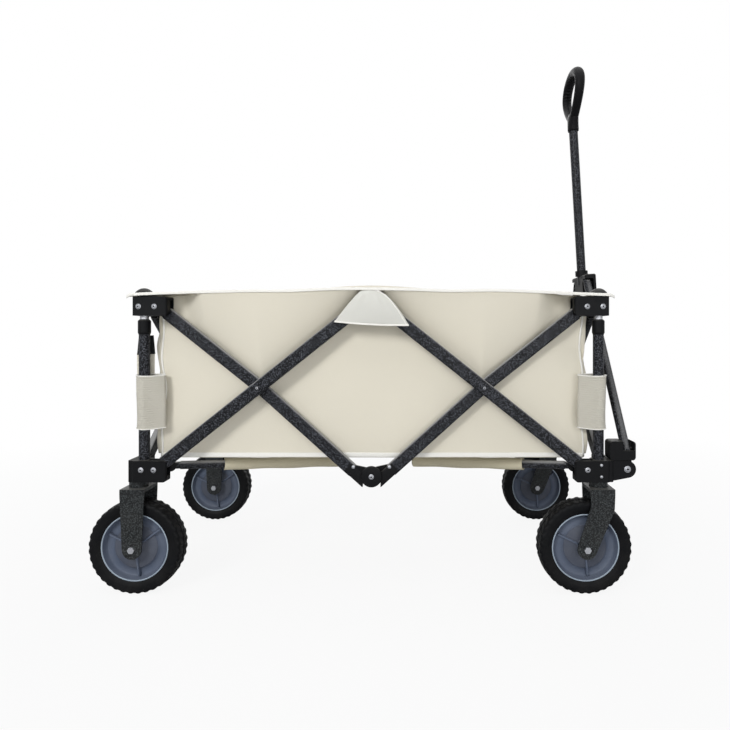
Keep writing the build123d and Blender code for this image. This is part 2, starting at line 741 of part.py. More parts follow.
for end in ends:
    for layer, outer in ((end_outer_layer, True), (end_inner_layer, False)):
        pivot_z = low_pivot_z if outer else high_pivot_z
        angle = -open_angle if outer else open_angle
        upright = Rot(0, 0, 90) * mirror(end_bar(outer), about=Plane.XZ)
        turned = Rot(-angle, 0, 0) * mirror(upright, about=Plane.YZ)
        bar = Pos(-post_x + layer, -half_width, pivot_z) * turned
        if end == "front":
            bar = mirror(bar, about=Plane.YZ)
        kind = "outer" if outer else "inner"
        nodes[f"{end}_{kind}_end_bar"] = bar

for side in sides:
    nodes[f"{side}_handle_block"] = hinge_block(side)
    nodes[f"{side}_handle_leg"] = leg(side)
    nodes[f"{side}_panel"] = side_panel(side)
nodes["handle_yoke"] = yoke()
nodes["pull_tube"] = pull_tube()
nodes["grip"] = grip()
for end in ends:
    nodes[f"{end}_panel"] = end_panel(end)
nodes["floor_panel"] = floor()

os.makedirs("parts", exist_ok=True)
for name, shape in nodes.items():
    export_step(Pos(frame_shift, 0, 0) * shape, f"parts/{name}.step")
print(len(nodes), "nodes, shift", round(frame_shift, 3))
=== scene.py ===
import bpy
import bmesh
import math
import numpy as np
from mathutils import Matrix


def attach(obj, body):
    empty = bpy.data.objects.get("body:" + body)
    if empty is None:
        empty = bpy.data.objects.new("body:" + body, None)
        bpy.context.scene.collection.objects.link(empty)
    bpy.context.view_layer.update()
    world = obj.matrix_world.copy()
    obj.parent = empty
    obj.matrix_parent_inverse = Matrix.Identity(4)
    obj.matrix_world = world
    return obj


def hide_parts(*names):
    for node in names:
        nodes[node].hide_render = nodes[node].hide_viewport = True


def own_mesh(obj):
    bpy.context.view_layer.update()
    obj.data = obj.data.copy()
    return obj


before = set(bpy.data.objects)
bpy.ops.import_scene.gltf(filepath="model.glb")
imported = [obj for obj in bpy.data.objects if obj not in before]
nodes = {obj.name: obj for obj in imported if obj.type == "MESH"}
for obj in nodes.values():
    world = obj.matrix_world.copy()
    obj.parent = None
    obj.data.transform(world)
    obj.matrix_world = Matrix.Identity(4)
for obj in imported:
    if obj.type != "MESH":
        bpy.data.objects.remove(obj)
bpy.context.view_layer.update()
scene = bpy.context.scene
scene.view_settings.view_transform = "Standard"
print("frame loaded,", len(nodes), "nodes")

# where the CAD puts the wagon, in metres
wagon = dict(
    midX=0.0155, postX=0.4308, postY=0.2176, pivotX=0.4053, pivotY=0.1921,
    lowZ=0.233, highZ=0.53865, crossX=0.2132, crossZ=0.3858, topHubZ=0.5554, lowHubZ=0.2162,
    wheelZ=0.0875, trail=0.029, back=0.0105, foldSpan=0.3463, foldPosts=0.3805, foldEnds=0.336,
)
ends = dict(rear=-1, front=1)
sides = dict(right=-1, left=1)
corners = [(end, side) for end in ends for side in sides]


def tint(red, green, blue):
    # screen colour 0-255 to the linear colour that a shader takes
    c = np.array([red, green, blue], float) / 255
    c = np.where(c <= 0.04045, c / 12.92, ((c + 0.055) / 1.055) ** 2.4)
    return (*c.tolist(), 1.0)


def fill(tree, node, inputs):
    # sets or links a node's inputs
    for key, value in inputs.items():
        if isinstance(value, bpy.types.NodeSocket):
            tree.links.new(value, node.inputs[key])
        else:
            node.inputs[key].default_value = value


def put(tree, kind, inputs=None, **settings):
    made = tree.nodes.new(kind)
    for key, value in settings.items():
        setattr(made, key, value)
    fill(tree, made, inputs or {})
    return made


def newMaterial(name):
    made = bpy.data.materials.new(name)
    made.use_nodes = True
    return made, made.node_tree, made.node_tree.nodes["Principled BSDF"]


def newObject(name, data):
    made = bpy.data.objects.new(name, data)
    scene.collection.objects.link(made)
    return made


def mixColour(tree, share, first, second):
    return put(tree, "ShaderNodeMix", {0: share, 6: first, 7: second}, data_type="RGBA").outputs[2]


def maths(tree, kind, first, second=0.0):
    return put(tree, "ShaderNodeMath", {0: first, 1: second}, operation=kind).outputs[0]


def ramp(tree, value, low, high, toLow=0.0, toHigh=1.0):
    spread = {"Value": value, "From Min": low, "From Max": high, "To Min": toLow, "To Max": toHigh}
    return put(tree, "ShaderNodeMapRange", spread).outputs[0]


def newGroup(name, numbers, colours, outputs=("Height", "Roughness")):
    # place, numbers and colours go in; colour and numbers come out
    tree = bpy.data.node_groups.new(name, "ShaderNodeTree")
    sockets = [("INPUT", "Vector", ["Vector"]), ("INPUT", "Float", numbers), ("INPUT", "Color", colours),
               ("OUTPUT", "Color", ["Color"]), ("OUTPUT", "Float", outputs)]
    for way, kind, labels in sockets:
        for label in labels:
            tree.interface.new_socket(label, in_out=way, socket_type="NodeSocket" + kind)
    given = tree.nodes.new("NodeGroupInput").outputs
    return tree, given["Vector"], given, tree.nodes.new("NodeGroupOutput")


def noise(tree, place, scale, detail):
    return put(tree, "ShaderNodeTexNoise", {"Vector": place, "Scale": scale, "Detail": detail}).outputs


hammered = dict(warpScale=420.0, warpBy=0.0016, dome=(0.1, 0.75, 1.0, 0.0), fineRatio=1.9, speck=(0.2, 0.52),
                broadScale=22.0, shade=(0.35, 0.7, 0.0, 0.35), dark=(0.006, 0.0065, 0.008, 1),
                rough=(0.3, 0.7, 0.3, 0.48))


def hammeredGroup():
    # paint drawn up into domed cells: light centres, dark joints
    p = hammered
    tree, place, given, out = newGroup("hammeredPaint", ["Cells", "Amount"], ["Paint", "Speck"])
    warp = noise(tree, place, p["warpScale"], 2.0)
    moved = put(tree, "ShaderNodeVectorMath", {0: warp["Color"], "Scale": p["warpBy"]}, operation="SCALE")
    warped = put(tree, "ShaderNodeVectorMath", {0: place, 1: moved.outputs[0]}, operation="ADD")
    sites = {"Vector": warped.outputs[0], "Scale": given["Cells"]}
    cells = put(tree, "ShaderNodeTexVoronoi", sites, feature="SMOOTH_F1")
    dome = ramp(tree, cells.outputs["Distance"], *p["dome"])
    broad = noise(tree, place, p["broadScale"], 3.0)
    fine = noise(tree, place, maths(tree, "MULTIPLY", given["Cells"], p["fineRatio"]), 2.0)
    speck = ramp(tree, maths(tree, "MULTIPLY", dome, fine[0]), *p["speck"])
    share = maths(tree, "MULTIPLY", speck, given["Amount"])
    shade = mixColour(tree, ramp(tree, broad[0], *p["shade"]), given["Paint"], p["dark"])
    colour = mixColour(tree, share, shade, given["Speck"])
    fill(tree, out, {"Color": colour, "Height": dome, "Roughness": ramp(tree, fine[0], *p["rough"])})
    return tree


dustAndHighlightSpread = dict(patchScale=38.0, patch=(0.38, 0.72), upward=(0.35, 0.8))


def dustGroup():
    # road dust low down, with a painted highlight on upward-facing faces that also stands for settled dust:
    # share = max(amount * patch * (1 - z / reach), highlight * upward)
    p = dustAndHighlightSpread
    tree, place, given, out = newGroup("roadDustAndUpHighlight", ["Amount", "Reach", "SettledDustAndHighlight"], ["Color", "DustAndHighlightTone"], [])
    patch = ramp(tree, noise(tree, place, p["patchScale"], 5.0)[0], *p["patch"])
    height = put(tree, "ShaderNodeSeparateXYZ", {0: place}).outputs["Z"]
    rise = put(tree, "ShaderNodeMath", {0: height, 1: given["Reach"]}, operation="DIVIDE", use_clamp=True)
    low = maths(tree, "SUBTRACT", 1.0, rise.outputs[0])
    share = maths(tree, "MULTIPLY", maths(tree, "MULTIPLY", patch, low), given["Amount"])
    normal = put(tree, "ShaderNodeNewGeometry").outputs["Normal"]
    facing = put(tree, "ShaderNodeSeparateXYZ", {0: normal}).outputs["Z"]
    # painted highlight: faces turned upwards are lightened towards the dust tone
    settledAndLitShare = maths(tree, "MULTIPLY", ramp(tree, facing, *p["upward"]), given["SettledDustAndHighlight"])
    share = maths(tree, "MAXIMUM", share, settledAndLitShare)
    fill(tree, out, {"Color": mixColour(tree, share, given["Color"], given["DustAndHighlightTone"])})
    return tree


mould = dict(slowScale=30.0, shade=(0.4, 0.8, 0.0, 0.3), rough=(0.3, 0.7, 0.42, 0.6))


def grainGroup():
    # moulded skin: fine pits and slow shade changes
    p = mould
    tree, place, given, out = newGroup("mouldGrain", ["Pits"], ["Color", "Pale"])
    pits = noise(tree, place, given["Pits"], 3.0)
    slow = noise(tree, place, p["slowScale"], 4.0)
    shade = mixColour(tree, ramp(tree, slow[0], *p["shade"]), given["Color"], given["Pale"])
    fill(tree, out, {"Color": shade, "Height": pits[0], "Roughness": ramp(tree, slow[0], *p["rough"])})
    return tree


weave = dict(slubScale=160.0, wobble=0.9, gap=(0.2, 0.8), stainScale=7.0, stain=(0.42, 0.75, 0.0, 0.4),
             rough=(0.3, 0.7, 0.78, 0.92))


def weaveGroup():
    # plain weave: two rows of round yarns, over and under by turns
    p = weave
    tree, place, given, out = newGroup("plainWeave", ["Yarns"], ["Yarn", "Gap", "Shade"])
    split = put(tree, "ShaderNodeSeparateXYZ", {0: place})
    slub = noise(tree, place, p["slubScale"], 2.0)
    wobble = maths(tree, "MULTIPLY", slub[0], p["wobble"])
    waves = []
    for axis in ("X", "Y"):
        turn = maths(tree, "ADD", maths(tree, "MULTIPLY", split.outputs[axis], given["Yarns"]), wobble)
        waves.append(maths(tree, "SINE", turn))
    height = ramp(tree, maths(tree, "MULTIPLY", *waves), -1.0, 1.0)
    stain = ramp(tree, noise(tree, place, p["stainScale"], 4.0)[0], *p["stain"])
    yarn = mixColour(tree, ramp(tree, height, *p["gap"]), given["Gap"], given["Yarn"])
    colour = mixColour(tree, stain, yarn, given["Shade"])
    fill(tree, out, {"Color": colour, "Height": height, "Roughness": ramp(tree, slub[0], *p["rough"])})
    return tree


groups = dict(hammered=hammeredGroup(), dust=dustGroup(), grain=grainGroup(), weave=weaveGroup())


def finishOf(name, group, values, bump=0.2, depth=0.0004, dust=None, metal=0.0, gloss=0.5, sheen=0.0):
    made, tree, shader = newMaterial(name)
    where = put(tree, "ShaderNodeTexCoord").outputs["UV" if group == "weave" else "Object"]
    look = put(tree, "ShaderNodeGroup", {"Vector": where, **values}, node_tree=groups[group])
    colour = look.outputs["Color"]
    # road dust and the painted highlight on upward faces
    if dust:
        inputs = {"Vector": where, "Color": colour, **dust}
        colour = put(tree, "ShaderNodeGroup", inputs, node_tree=groups["dust"]).outputs["Color"]
    relief = {"Strength": bump, "Distance": depth, "Height": look.outputs["Height"]}
    fill(tree, shader, {
        "Base Color": colour, "Roughness": look.outputs["Roughness"], "Metallic": metal,
        "Sheen Weight": sheen, "Specular IOR Level": gloss,
        "Normal": put(tree, "ShaderNodeBump", relief).outputs[0],
    })
    return made


def painted(name, cells, paint, speck, amount, **rest):
    values = {"Cells": cells, "Paint": tint(*paint), "Speck": tint(*speck), "Amount": amount}
    return finishOf(name, "hammered", values, **rest)


def moulded(name, pits, colour, pale, **rest):
    return finishOf(name, "grain", {"Pits": pits, "Color": tint(*colour), "Pale": tint(*pale)}, **rest)


def woven(name, yarns, yarn, gap, shade, depth=0.0002, gloss=0.2, **rest):
    values = {"Yarns": yarns, "Yarn": tint(*yarn), "Gap": tint(*gap), "Shade": tint(*shade)}
    return finishOf(name, "weave", values, depth=depth, gloss=gloss, **rest)


# dust towards the ground, and a painted highlight on upward faces that also reads as settled dust; the tubes'
# strong pale share paints the light line along the bars' upper edges
roadDustAndUpHighlight = dict(DustAndHighlightTone=tint(132, 130, 126), Amount=0.12, Reach=0.24, SettledDustAndHighlight=0.2)
tubeDustAndUpHighlight = dict(roadDustAndUpHighlight, DustAndHighlightTone=tint(168, 168, 168), Amount=0.04, SettledDustAndHighlight=0.85)
forkDustAndUpHighlight = dict(roadDustAndUpHighlight, Amount=0.07, SettledDustAndHighlight=0.3)
tyreDustAndUpHighlight = dict(DustAndHighlightTone=tint(110, 106, 100), Amount=0.04, Reach=0.2, SettledDustAndHighlight=0.02)
hubDustAndUpHighlight = dict(roadDustAndUpHighlight, SettledDustAndHighlight=0.1)
finishes = dict(
    tube=painted("tubePaint", 450.0, (12, 13, 16), (106, 109, 117), 0.58,
                 bump=0.35, depth=0.0003, dust=tubeDustAndUpHighlight, gloss=0.12),
    fork=painted("forkPaint", 430.0, (20, 22, 23), (88, 94, 95), 0.5,
                 bump=0.8, depth=0.0007, dust=forkDustAndUpHighlight, gloss=0.18),
    bracket=moulded("bracketPlastic", 1100.0, (7, 8, 10), (18, 19, 23),
                    bump=0.12, dust=dict(roadDustAndUpHighlight, Amount=0.05), gloss=0.12),
    steel=moulded("bareSteel", 500.0, (186, 187, 191), (140, 143, 148), bump=0.03, metal=1.0),
    zinc=moulded("zincBolt", 800.0, (168, 170, 175), (112, 115, 122), bump=0.05, metal=1.0),
    tyre=moulded("tyreRubber", 1300.0, (8, 9, 11), (20, 21, 25), dust=tyreDustAndUpHighlight, gloss=0.1),
    hub=moulded("hubPlastic", 900.0, (80, 89, 106), (102, 112, 130), bump=0.06, dust=hubDustAndUpHighlight, gloss=0.25),
    disc=moulded("hubDisc", 900.0, (70, 75, 87), (90, 96, 109), bump=0.06, dust=hubDustAndUpHighlight, gloss=0.2),
    ring=moulded("rimRing", 900.0, (150, 162, 174), (118, 130, 146), bump=0.05, gloss=0.3),
    grip=moulded("gripRubber", 1400.0, (11, 11, 13), (23, 23, 26), bump=0.3, gloss=0.1),
    cloth=woven("creamCloth", 5200.0, (226, 221, 206), (200, 194, 177), (215, 209, 192),
                bump=0.25, sheen=0.12),
    # painted light: the cream cloth made greyer and bluer for the flap, as if lit by the sky above
    skylitHood=woven("skylitHoodCloth", 5200.0, (214, 214, 207), (192, 191, 184), (203, 203, 196),
               bump=0.25, sheen=0.12),
    sleeve=woven("sleeveCloth", 3200.0, (200, 197, 186), (166, 162, 150), (184, 180, 168),
                 bump=0.4, depth=0.0003, sheen=0.1),
    piping=woven("whitePiping", 7000.0, (240, 239, 234), (218, 216, 208), (230, 228, 220), sheen=0.1),
    # painted shade: the cream cloth darkened and warmed as if in shadow under the floor
    underside=woven("shadedCloth", 5200.0, (206, 199, 176), (176, 169, 146), (190, 183, 160),
                    bump=0.3, gloss=0.15),
    strap=woven("blackWebbing", 3600.0, (30, 31, 34), (11, 12, 14), (22, 23, 26), bump=0.5, depth=0.0003),
)
print("finishes made")


def paintNode(name, looks, pick=None):
    # finishes of a CAD node; pick gives each face's finish from the face centres
    mesh = nodes[name].data
    mesh.materials.clear()
    for look in looks:
        mesh.materials.append(finishes[look])
    if pick is not None:
        centres = np.empty(len(mesh.polygons) * 3)
        mesh.polygons.foreach_get("center", centres)
        mesh.polygons.foreach_set("material_index", pick(centres.reshape(-1, 3)).astype(np.int32))


def acrossFrom(spots, axes):
    # true for faces within r of a spot (p, q, r), seen along the axis that is left out
    def near(centres):
        flat = centres[:, axes]
        return np.any([np.hypot(flat[:, 0] - p, flat[:, 1] - q) < r for p, q, r in spots], axis=0)
    return near


# where the black fittings part from the painted tube
moulding = dict(boss=0.0199, riserHub=0.0465, hangerHub=0.0365, collar=0.0103, collarZ=0.5051, axleEnd=0.0292)


def paintFrame():
    w, m = wagon, moulding
    plain = dict(low_bracket="bracket", high_bracket="bracket", inner_post="steel", floor_strut="tube",
                 tyre="tyre", hub="hub")
    for end, side in corners:
        x = w["midX"] + ends[end] * w["postX"]
        y = sides[side] * w["postY"]
        pivot = w["midX"] + ends[end] * w["pivotX"]
        key = f"{end}_{side}"
        for part, look in plain.items():
            paintNode(f"{key}_{part}", [look])
        paintNode(f"{key}_lower_post", ["tube", "bracket"],
                  lambda c: (np.hypot(c[:, 0] - x, c[:, 1] - y) > m["collar"]) | (c[:, 2] > m["collarZ"]))
        paintNode(f"{key}_fork", ["fork", "zinc"], lambda c: np.abs(c[:, 1] - y) > m["axleEnd"])
        riser = [(pivot, w["lowZ"], m["boss"]), (w["midX"], w["topHubZ"], m["riserHub"])]
        hanger = [(pivot, w["highZ"], m["boss"]), (w["midX"], w["lowHubZ"], m["hangerHub"])]
        paintNode(f"{key}_riser_bar", ["tube", "bracket"], acrossFrom(riser, [0, 2]))
        paintNode(f"{key}_hanger_bar", ["tube", "bracket"], acrossFrom(hanger, [0, 2]))
    for end in ends:
        for kind, first, last in (("outer", w["lowZ"], w["highZ"]), ("inner", w["highZ"], w["lowZ"])):
            bosses = [(-w["pivotY"], first, m["boss"]), (w["pivotY"], last, m["boss"])]
            paintNode(f"{end}_{kind}_end_bar", ["tube", "bracket"], acrossFrom(bosses, [1, 2]))
    for side in sides:
        paintNode(f"{side}_handle_block", ["bracket"])
        paintNode(f"{side}_handle_leg", ["tube"])
    paintNode("handle_yoke", ["bracket"])
    paintNode("pull_tube", ["tube"])
    paintNode("grip", ["grip"])


paintFrame()
print("CAD nodes painted")


def around(count, closed=True):
    return np.linspace(0, math.tau, count, endpoint=closed)


def hump(share):
    # 0 at both ends, 1 in the middle
    return np.sin(np.pi * share)


def climb(place, first, over):
    # 0 before first, 1 from first + over on
    return np.clip((place - first) / over, 0, 1)


def ridge(place, size, middle, wide):
    # bell-shaped rise: size exp(-((p - middle) / wide)^2)
    return size * np.exp(-((place - middle) / wide) ** 2)


def squared(share, power):
    # towards a square wave: sign(v) |v|^power
    return np.sign(share) * np.abs(share) ** power


def joined(x, y, z):
    return np.stack(np.broadcast_arrays(x, y, z), -1)


def fromPost(end, side, inX, inY, z):
    # place measured inwards from a corner post
    w = wagon
    return joined(w["midX"] + ends[end] * (w["postX"] - inX), sides[side] * (w["postY"] - inY), z)


def gridOf(nu, nv, first=-1):
    # shares over a sheet: -1 or 0 to 1 one way, 0 to 1 the other
    return np.meshgrid(np.linspace(first, 1, nu), np.linspace(0, 1, nv), indexing="ij")


def lathe(profile, centre, axis, steps=32):
    # profile (radius, height) turned about an axis: p = c + h a + r (cos t e1 + sin t e2)
    axis = np.array(axis, float) / np.linalg.norm(axis)
    first = np.cross(axis, [0.13, 0.41, 0.9])
    first /= np.linalg.norm(first)
    turn = around(steps, False)
    ring = np.cos(turn)[:, None] * first + np.sin(turn)[:, None] * np.cross(axis, first)
    profile = np.asarray(profile, float)
    points = profile[None, :, 1, None] * axis + profile[None, :, 0, None] * ring[:, None, :]
    return dict(points=np.asarray(centre, float) + points, wrapU=True)


def lengths(points, axis=0):
    # distance run along one way of a path or grid, from 0
    steps = np.linalg.norm(np.diff(points, axis=axis), axis=-1)
    return np.insert(np.cumsum(steps, axis), 0, 0.0, axis)


def pinched(rings, middles):
    # rings with both ends closed to a point
    first = np.broadcast_to(middles[:1], rings[:1].shape)
    last = np.broadcast_to(middles[-1:], rings[:1].shape)
    return np.concatenate([first, rings, last])


def pipe(path, radius, edges=10):
    # round section carried along a path, ring i = p + r (cos t n + sin t b)
    path = np.asarray(path, float)
    along = np.gradient(path, axis=0)
    along /= np.linalg.norm(along, axis=1)[:, None]
    across = np.cross(along, [0.29, 0.37, 0.88])
    across /= np.linalg.norm(across, axis=1)[:, None]
    over = np.cross(along, across)
    turn = around(edges + 1)
    turned = turn[None, :, None]
    section = np.cos(turned) * across[:, None, :] + np.sin(turned) * over[:, None, :]
    rings = path[:, None, :] + np.reshape(radius, (-1, 1, 1)) * section
    run = lengths(path)
    run = np.concatenate([[0], run, run[-1:]])
    uv = np.stack(np.broadcast_arrays(run[:, None], turn[None, :] * np.mean(radius)), -1)
    return dict(points=pinched(rings, path[:, None]), uv=uv)


def sheetGrid(points):
    # cloth grid with its own map in metres, measured along the grid's two ways
    return dict(points=points, uv=np.stack([lengths(points, 0), lengths(points, 1)], -1))


# join distance, shortest edge and the map's step over a plain grid
weld = dict(double=2e-6, sliver=1e-7, cell=0.002)


def newPiece(name, grids, looks, body, closed=True, thick=0.0):
    # joins grids into one mesh, a four-sided face for each cell
    spots, faces, maps, marks, count = [], [], [], [], 0
    for grid in grids:
        points = grid["points"]
        nu, nv = points.shape[:2]
        i, j = np.meshgrid(np.arange(nu if grid.get("wrapU") else nu - 1), np.arange(nv - 1), indexing="ij")
        here, beside = i * nv + j, (i + 1) % nu * nv + j
        quads = np.stack([here, beside, beside + 1, here + 1], -1).reshape(-1, 4)
        uv = grid.get("uv")
        if uv is None:
            uv = weld["cell"] * np.stack(np.meshgrid(np.arange(nu), np.arange(nv), indexing="ij"), -1)
        spots.append(points.reshape(-1, 3))
        faces.append(quads + count)
        maps.append(uv.reshape(-1, 2)[quads].reshape(-1, 2))
        marks.append(np.broadcast_to(grid.get("look", 0), i.shape).ravel())
        count += nu * nv
    mesh = bpy.data.meshes.new(name)
    mesh.from_pydata(np.concatenate(spots).tolist(), [], np.concatenate(faces).tolist())
    clothMap = mesh.uv_layers.new(name="clothMap")
    clothMap.data.foreach_set("uv", np.concatenate(maps).astype(np.float32).ravel())
    mesh.polygons.foreach_set("material_index", np.concatenate(marks).astype(np.int32))
    shell = bmesh.new()
    shell.from_mesh(mesh)
    bmesh.ops.remove_doubles(shell, verts=shell.verts, dist=weld["double"])
    bmesh.ops.dissolve_degenerate(shell, edges=shell.edges, dist=weld["sliver"])
    if closed:
        bmesh.ops.recalc_face_normals(shell, faces=shell.faces)
    shell.to_mesh(mesh)
    shell.free()
    mesh.polygons.foreach_set("use_smooth", np.full(len(mesh.polygons), True))
    made = newObject(name, mesh)
    for look in looks:
        mesh.materials.append(finishes[look])
    if thick:
        wall = made.modifiers.new("clothThickness", "SOLIDIFY")
        wall.thickness = thick
        wall.offset = 0.0
    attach(made, body)
    return made


def newCloth(name, sheets, look, body, thick):
    grids = [sheetGrid(points) for points in sheets]
    return newPiece(name, grids, [look], body, closed=False, thick=thick)


def newTape(name, grids, body):
    return newPiece(name, grids, ["piping"], body)


def newBolts(name, grids, body):
    return newPiece(name, grids, ["zinc", "bracket"], body)


# camera and light
view = dict(place=(0.0982, -1.3071, 0.4829), lens=28.295, sensor=36.0, shift=(-0.0684, -0.0394))


def setCamera():
    lens = bpy.data.cameras.new("photoView")
    lens.lens = view["lens"]
    lens.sensor_width = view["sensor"]
    lens.shift_x, lens.shift_y = view["shift"]
    eye = newObject("photoView", lens)
    eye.location = view["place"]
    eye.rotation_euler = (math.pi / 2, 0, 0)
    scene.camera = eye


lamps = dict(
    key=dict(place=(-1.3, -2.75, 1.75), size=0.8, power=49.0),
    above=dict(place=(0.1, -0.4, 2.7), size=2.6, power=26.0),
    low=dict(place=(0.9, -2.7, 0.5), size=1.8, power=24.0),
    behind=dict(place=(0.3, 2.4, 1.9), size=2.0, power=26.0),
)
room = dict(aim=(0, 0, 0.4), soft=(0.93, 0.95, 1.0, 1), softPower=0.34, white=(1, 1, 1, 1), whitePower=1.0)


def setLight():
    for name, lamp in lamps.items():
        light = bpy.data.lights.new(name, "AREA")
        light.size = lamp["size"]
        light.energy = lamp["power"]
        holder = newObject(name, light)
        holder.location = lamp["place"]
        x, y, z = np.subtract(lamp["place"], room["aim"])
        holder.rotation_euler = (math.atan2(math.hypot(x, y), z), 0, math.atan2(x, -y))
    world = bpy.data.worlds.new("paleRoom")
    scene.world = world
    world.use_nodes = True
    tree = world.node_tree
    tree.nodes.clear()
    path = put(tree, "ShaderNodeLightPath")
    seen = maths(tree, "MAXIMUM", path.outputs["Is Camera Ray"], path.outputs["Is Glossy Ray"])
    soft = put(tree, "ShaderNodeBackground", {"Color": room["soft"], "Strength": room["softPower"]})
    white = put(tree, "ShaderNodeBackground", {"Color": room["white"], "Strength": room["whitePower"]})
    both = put(tree, "ShaderNodeMixShader", {0: seen, 1: soft.outputs[0], 2: white.outputs[0]})
    put(tree, "ShaderNodeOutputWorld", {0: both.outputs[0]})


paleFloor = dict(half=9, tone=(0.62, 0.62, 0.62, 1), rough=0.9, glow=(0.7, 2.0, 0.9, 1.0))


def setFloor():
    # pale floor, nearly white to the camera, with a trace of the wagon's shadow
    half = paleFloor["half"]
    mesh = bpy.data.meshes.new("paleFloor")
    outline = [(-half, -half, 0), (half, -half, 0), (half, half, 0), (-half, half, 0)]
    mesh.from_pydata(outline, [], [(0, 1, 2, 3)])
    made, tree, shader = newMaterial("paleFloor")
    fill(tree, shader, {"Base Color": paleFloor["tone"], "Roughness": paleFloor["rough"]})
    path = put(tree, "ShaderNodeLightPath")
    glow = put(tree, "ShaderNodeEmission", {"Color": room["white"], "Strength": room["whitePower"]})
    place = put(tree, "ShaderNodeTexCoord").outputs["Object"]
    away = put(tree, "ShaderNodeVectorMath", {0: place}, operation="LENGTH").outputs["Value"]
    seen = maths(tree, "MULTIPLY", path.outputs["Is Camera Ray"], ramp(tree, away, *paleFloor["glow"]))
    both = put(tree, "ShaderNodeMixShader", {0: seen, 1: shader.outputs[0], 2: glow.outputs[0]})
    tree.links.new(both.outputs[0], tree.nodes["Material Output"].inputs["Surface"])
    mesh.materials.append(made)
    newObject("paleFloor", mesh)


setCamera()
setLight()
setFloor()
print("camera, lamps and floor set")


# screws and rivets: head sizes, then the faces they sit on, outwards from the posts' middle
hardware = dict(
    head=0.0038, rivet=0.003, big=0.0048, cross=0.003, rise=0.0022, crossRise=0.0026, root=0.0008,
    lowFace=0.01935, highFace=0.0165, noseFace=0.0125, barFace=0.0145, innerFace=-0.0005, coverFace=0.003,
    nearEnd=0.0165, farEnd=0.02435, endBar=0.0195, rearX=0.002, noseX=0.051, topX=0.004,
    rivetZ=(0.009, -0.0125), spot=0.046, riserSlope=38.5, riserRivet=(0.0034, 0.0018),
    hangerSlope=42.0, hangerDrop=0.0125, hangerRivet=(0.0036, 0.002),
)


def panHead(centre, axis, radius=hardware["head"], rise=hardware["rise"]):
    # domed head with a round recess, on a washer: profile in shares, from the middle out
    shares = [(0, 0.45), (0.34, 0.45), (0.42, 0.98), (0.62, 1), (0.84, 0.78), (0.96, 0.4), (1, 0.3),
              (1.28, 0.28), (1.34, 0.12)]
    profile = [(r * radius, h * rise) for r, h in shares] + [(1.34 * radius, -hardware["root"])]
    return dict(lathe(profile, centre, axis, 28), look=np.array([1, 1] + [0] * 7))


def rivetHead(centre, axis, radius=hardware["rivet"], rise=hardware["rise"]):
    # low dome: h = rise cos(a), r = radius sin(a)
    a = np.linspace(0, np.pi / 2, 8)
    profile = np.stack([radius * np.sin(a), rise * np.cos(a)], 1)
    return lathe(np.concatenate([profile, [(radius, -hardware["root"])]]), centre, axis, 22)


def bracketScrews(end, side):
    # screws of the low and of the high bracket
    w, h = wagon, hardware
    sx, sy = ends[end], sides[side]
    postX, pivotX = w["midX"] + sx * w["postX"], w["midX"] + sx * w["pivotX"]
    out, outward = (0, sy, 0), (sx, 0, 0)
    lowZ, highZ = w["lowZ"], w["highZ"]
    lowFace, highFace = sy * (w["postY"] + h["lowFace"]), sy * (w["postY"] + h["highFace"])
    lowEnd, highEnd = (h["farEnd"], h["nearEnd"]) if side == "right" else (h["nearEnd"], h["farEnd"])
    base = [panHead((pivotX, lowFace, lowZ), out)]
    if end == "rear":
        base.append(panHead((postX + h["rearX"], lowFace, lowZ), out))
    else:
        base += [rivetHead((postX, lowFace, lowZ + dz), out) for dz in h["rivetZ"]]
        nose = (postX + h["noseX"], sy * (w["postY"] + h["noseFace"]), lowZ)
        base.append(panHead(nose, out, h["big"]))
    base.append(panHead((postX + sx * lowEnd, sy * w["pivotY"], lowZ), outward))
    top = [panHead((x, highFace, highZ), out) for x in (pivotX, postX + sx * h["topX"])]
    top.append(panHead((postX + sx * highEnd, sy * w["pivotY"], highZ), outward))
    return base, top


def barBolts(end, side):
    # bolt at the crossing, rivets at both hubs and the bottom hub's screw
    w, h = wagon, hardware
    sx, sy = ends[end], sides[side]
    out = (0, sy, 0)
    barFace = sy * (w["postY"] + h["barFace"])
    riser = [panHead((w["midX"] + sx * w["crossX"], barFace, w["crossZ"]), out, h["cross"], h["crossRise"])]
    spot = h["spot"]
    fall = spot * math.tan(math.radians(h["riserSlope"]))
    foot = (w["midX"] + sx * spot, barFace, w["topHubZ"] - fall)
    riser.append(rivetHead(foot, out, *h["riserRivet"]))
    slope = math.radians(h["hangerSlope"])
    hub = np.array([w["midX"], sy * (w["postY"] + h["innerFace"]), w["lowHubZ"]])
    reach = np.array([sx * spot * math.cos(slope), 0, spot * math.sin(slope) - h["hangerDrop"]])
    hanger = [rivetHead(hub + reach, out, *h["hangerRivet"])]
    if end == "rear":
        hanger.append(panHead(hub + np.array([0, sy * h["coverFace"], 0]), out))
    return riser, hanger


def addHardware():
    w, h = wagon, hardware
    for end, side in corners:
        key = f"{end}_{side}"
        base, top = bracketScrews(end, side)
        riser, hanger = barBolts(end, side)
        newBolts(f"{key}_base_screws", base, f"{key}_base")
        newBolts(f"{key}_top_screws", top, f"{key}_top")
        newBolts(f"{key}_riser_bolts", riser, f"{key}_riser")
        newBolts(f"{key}_hanger_bolts", hanger, f"{key}_hanger")
    for end, sx in ends.items():
        place = (w["midX"] + sx * (w["postX"] + h["endBar"]), 0, w["crossZ"])
        bolt = panHead(place, (sx, 0, 0), h["cross"], h["crossRise"])
        newBolts(f"{end}_end_bolt", [bolt], f"{end}_outer_end")


addHardware()
print("screws placed")


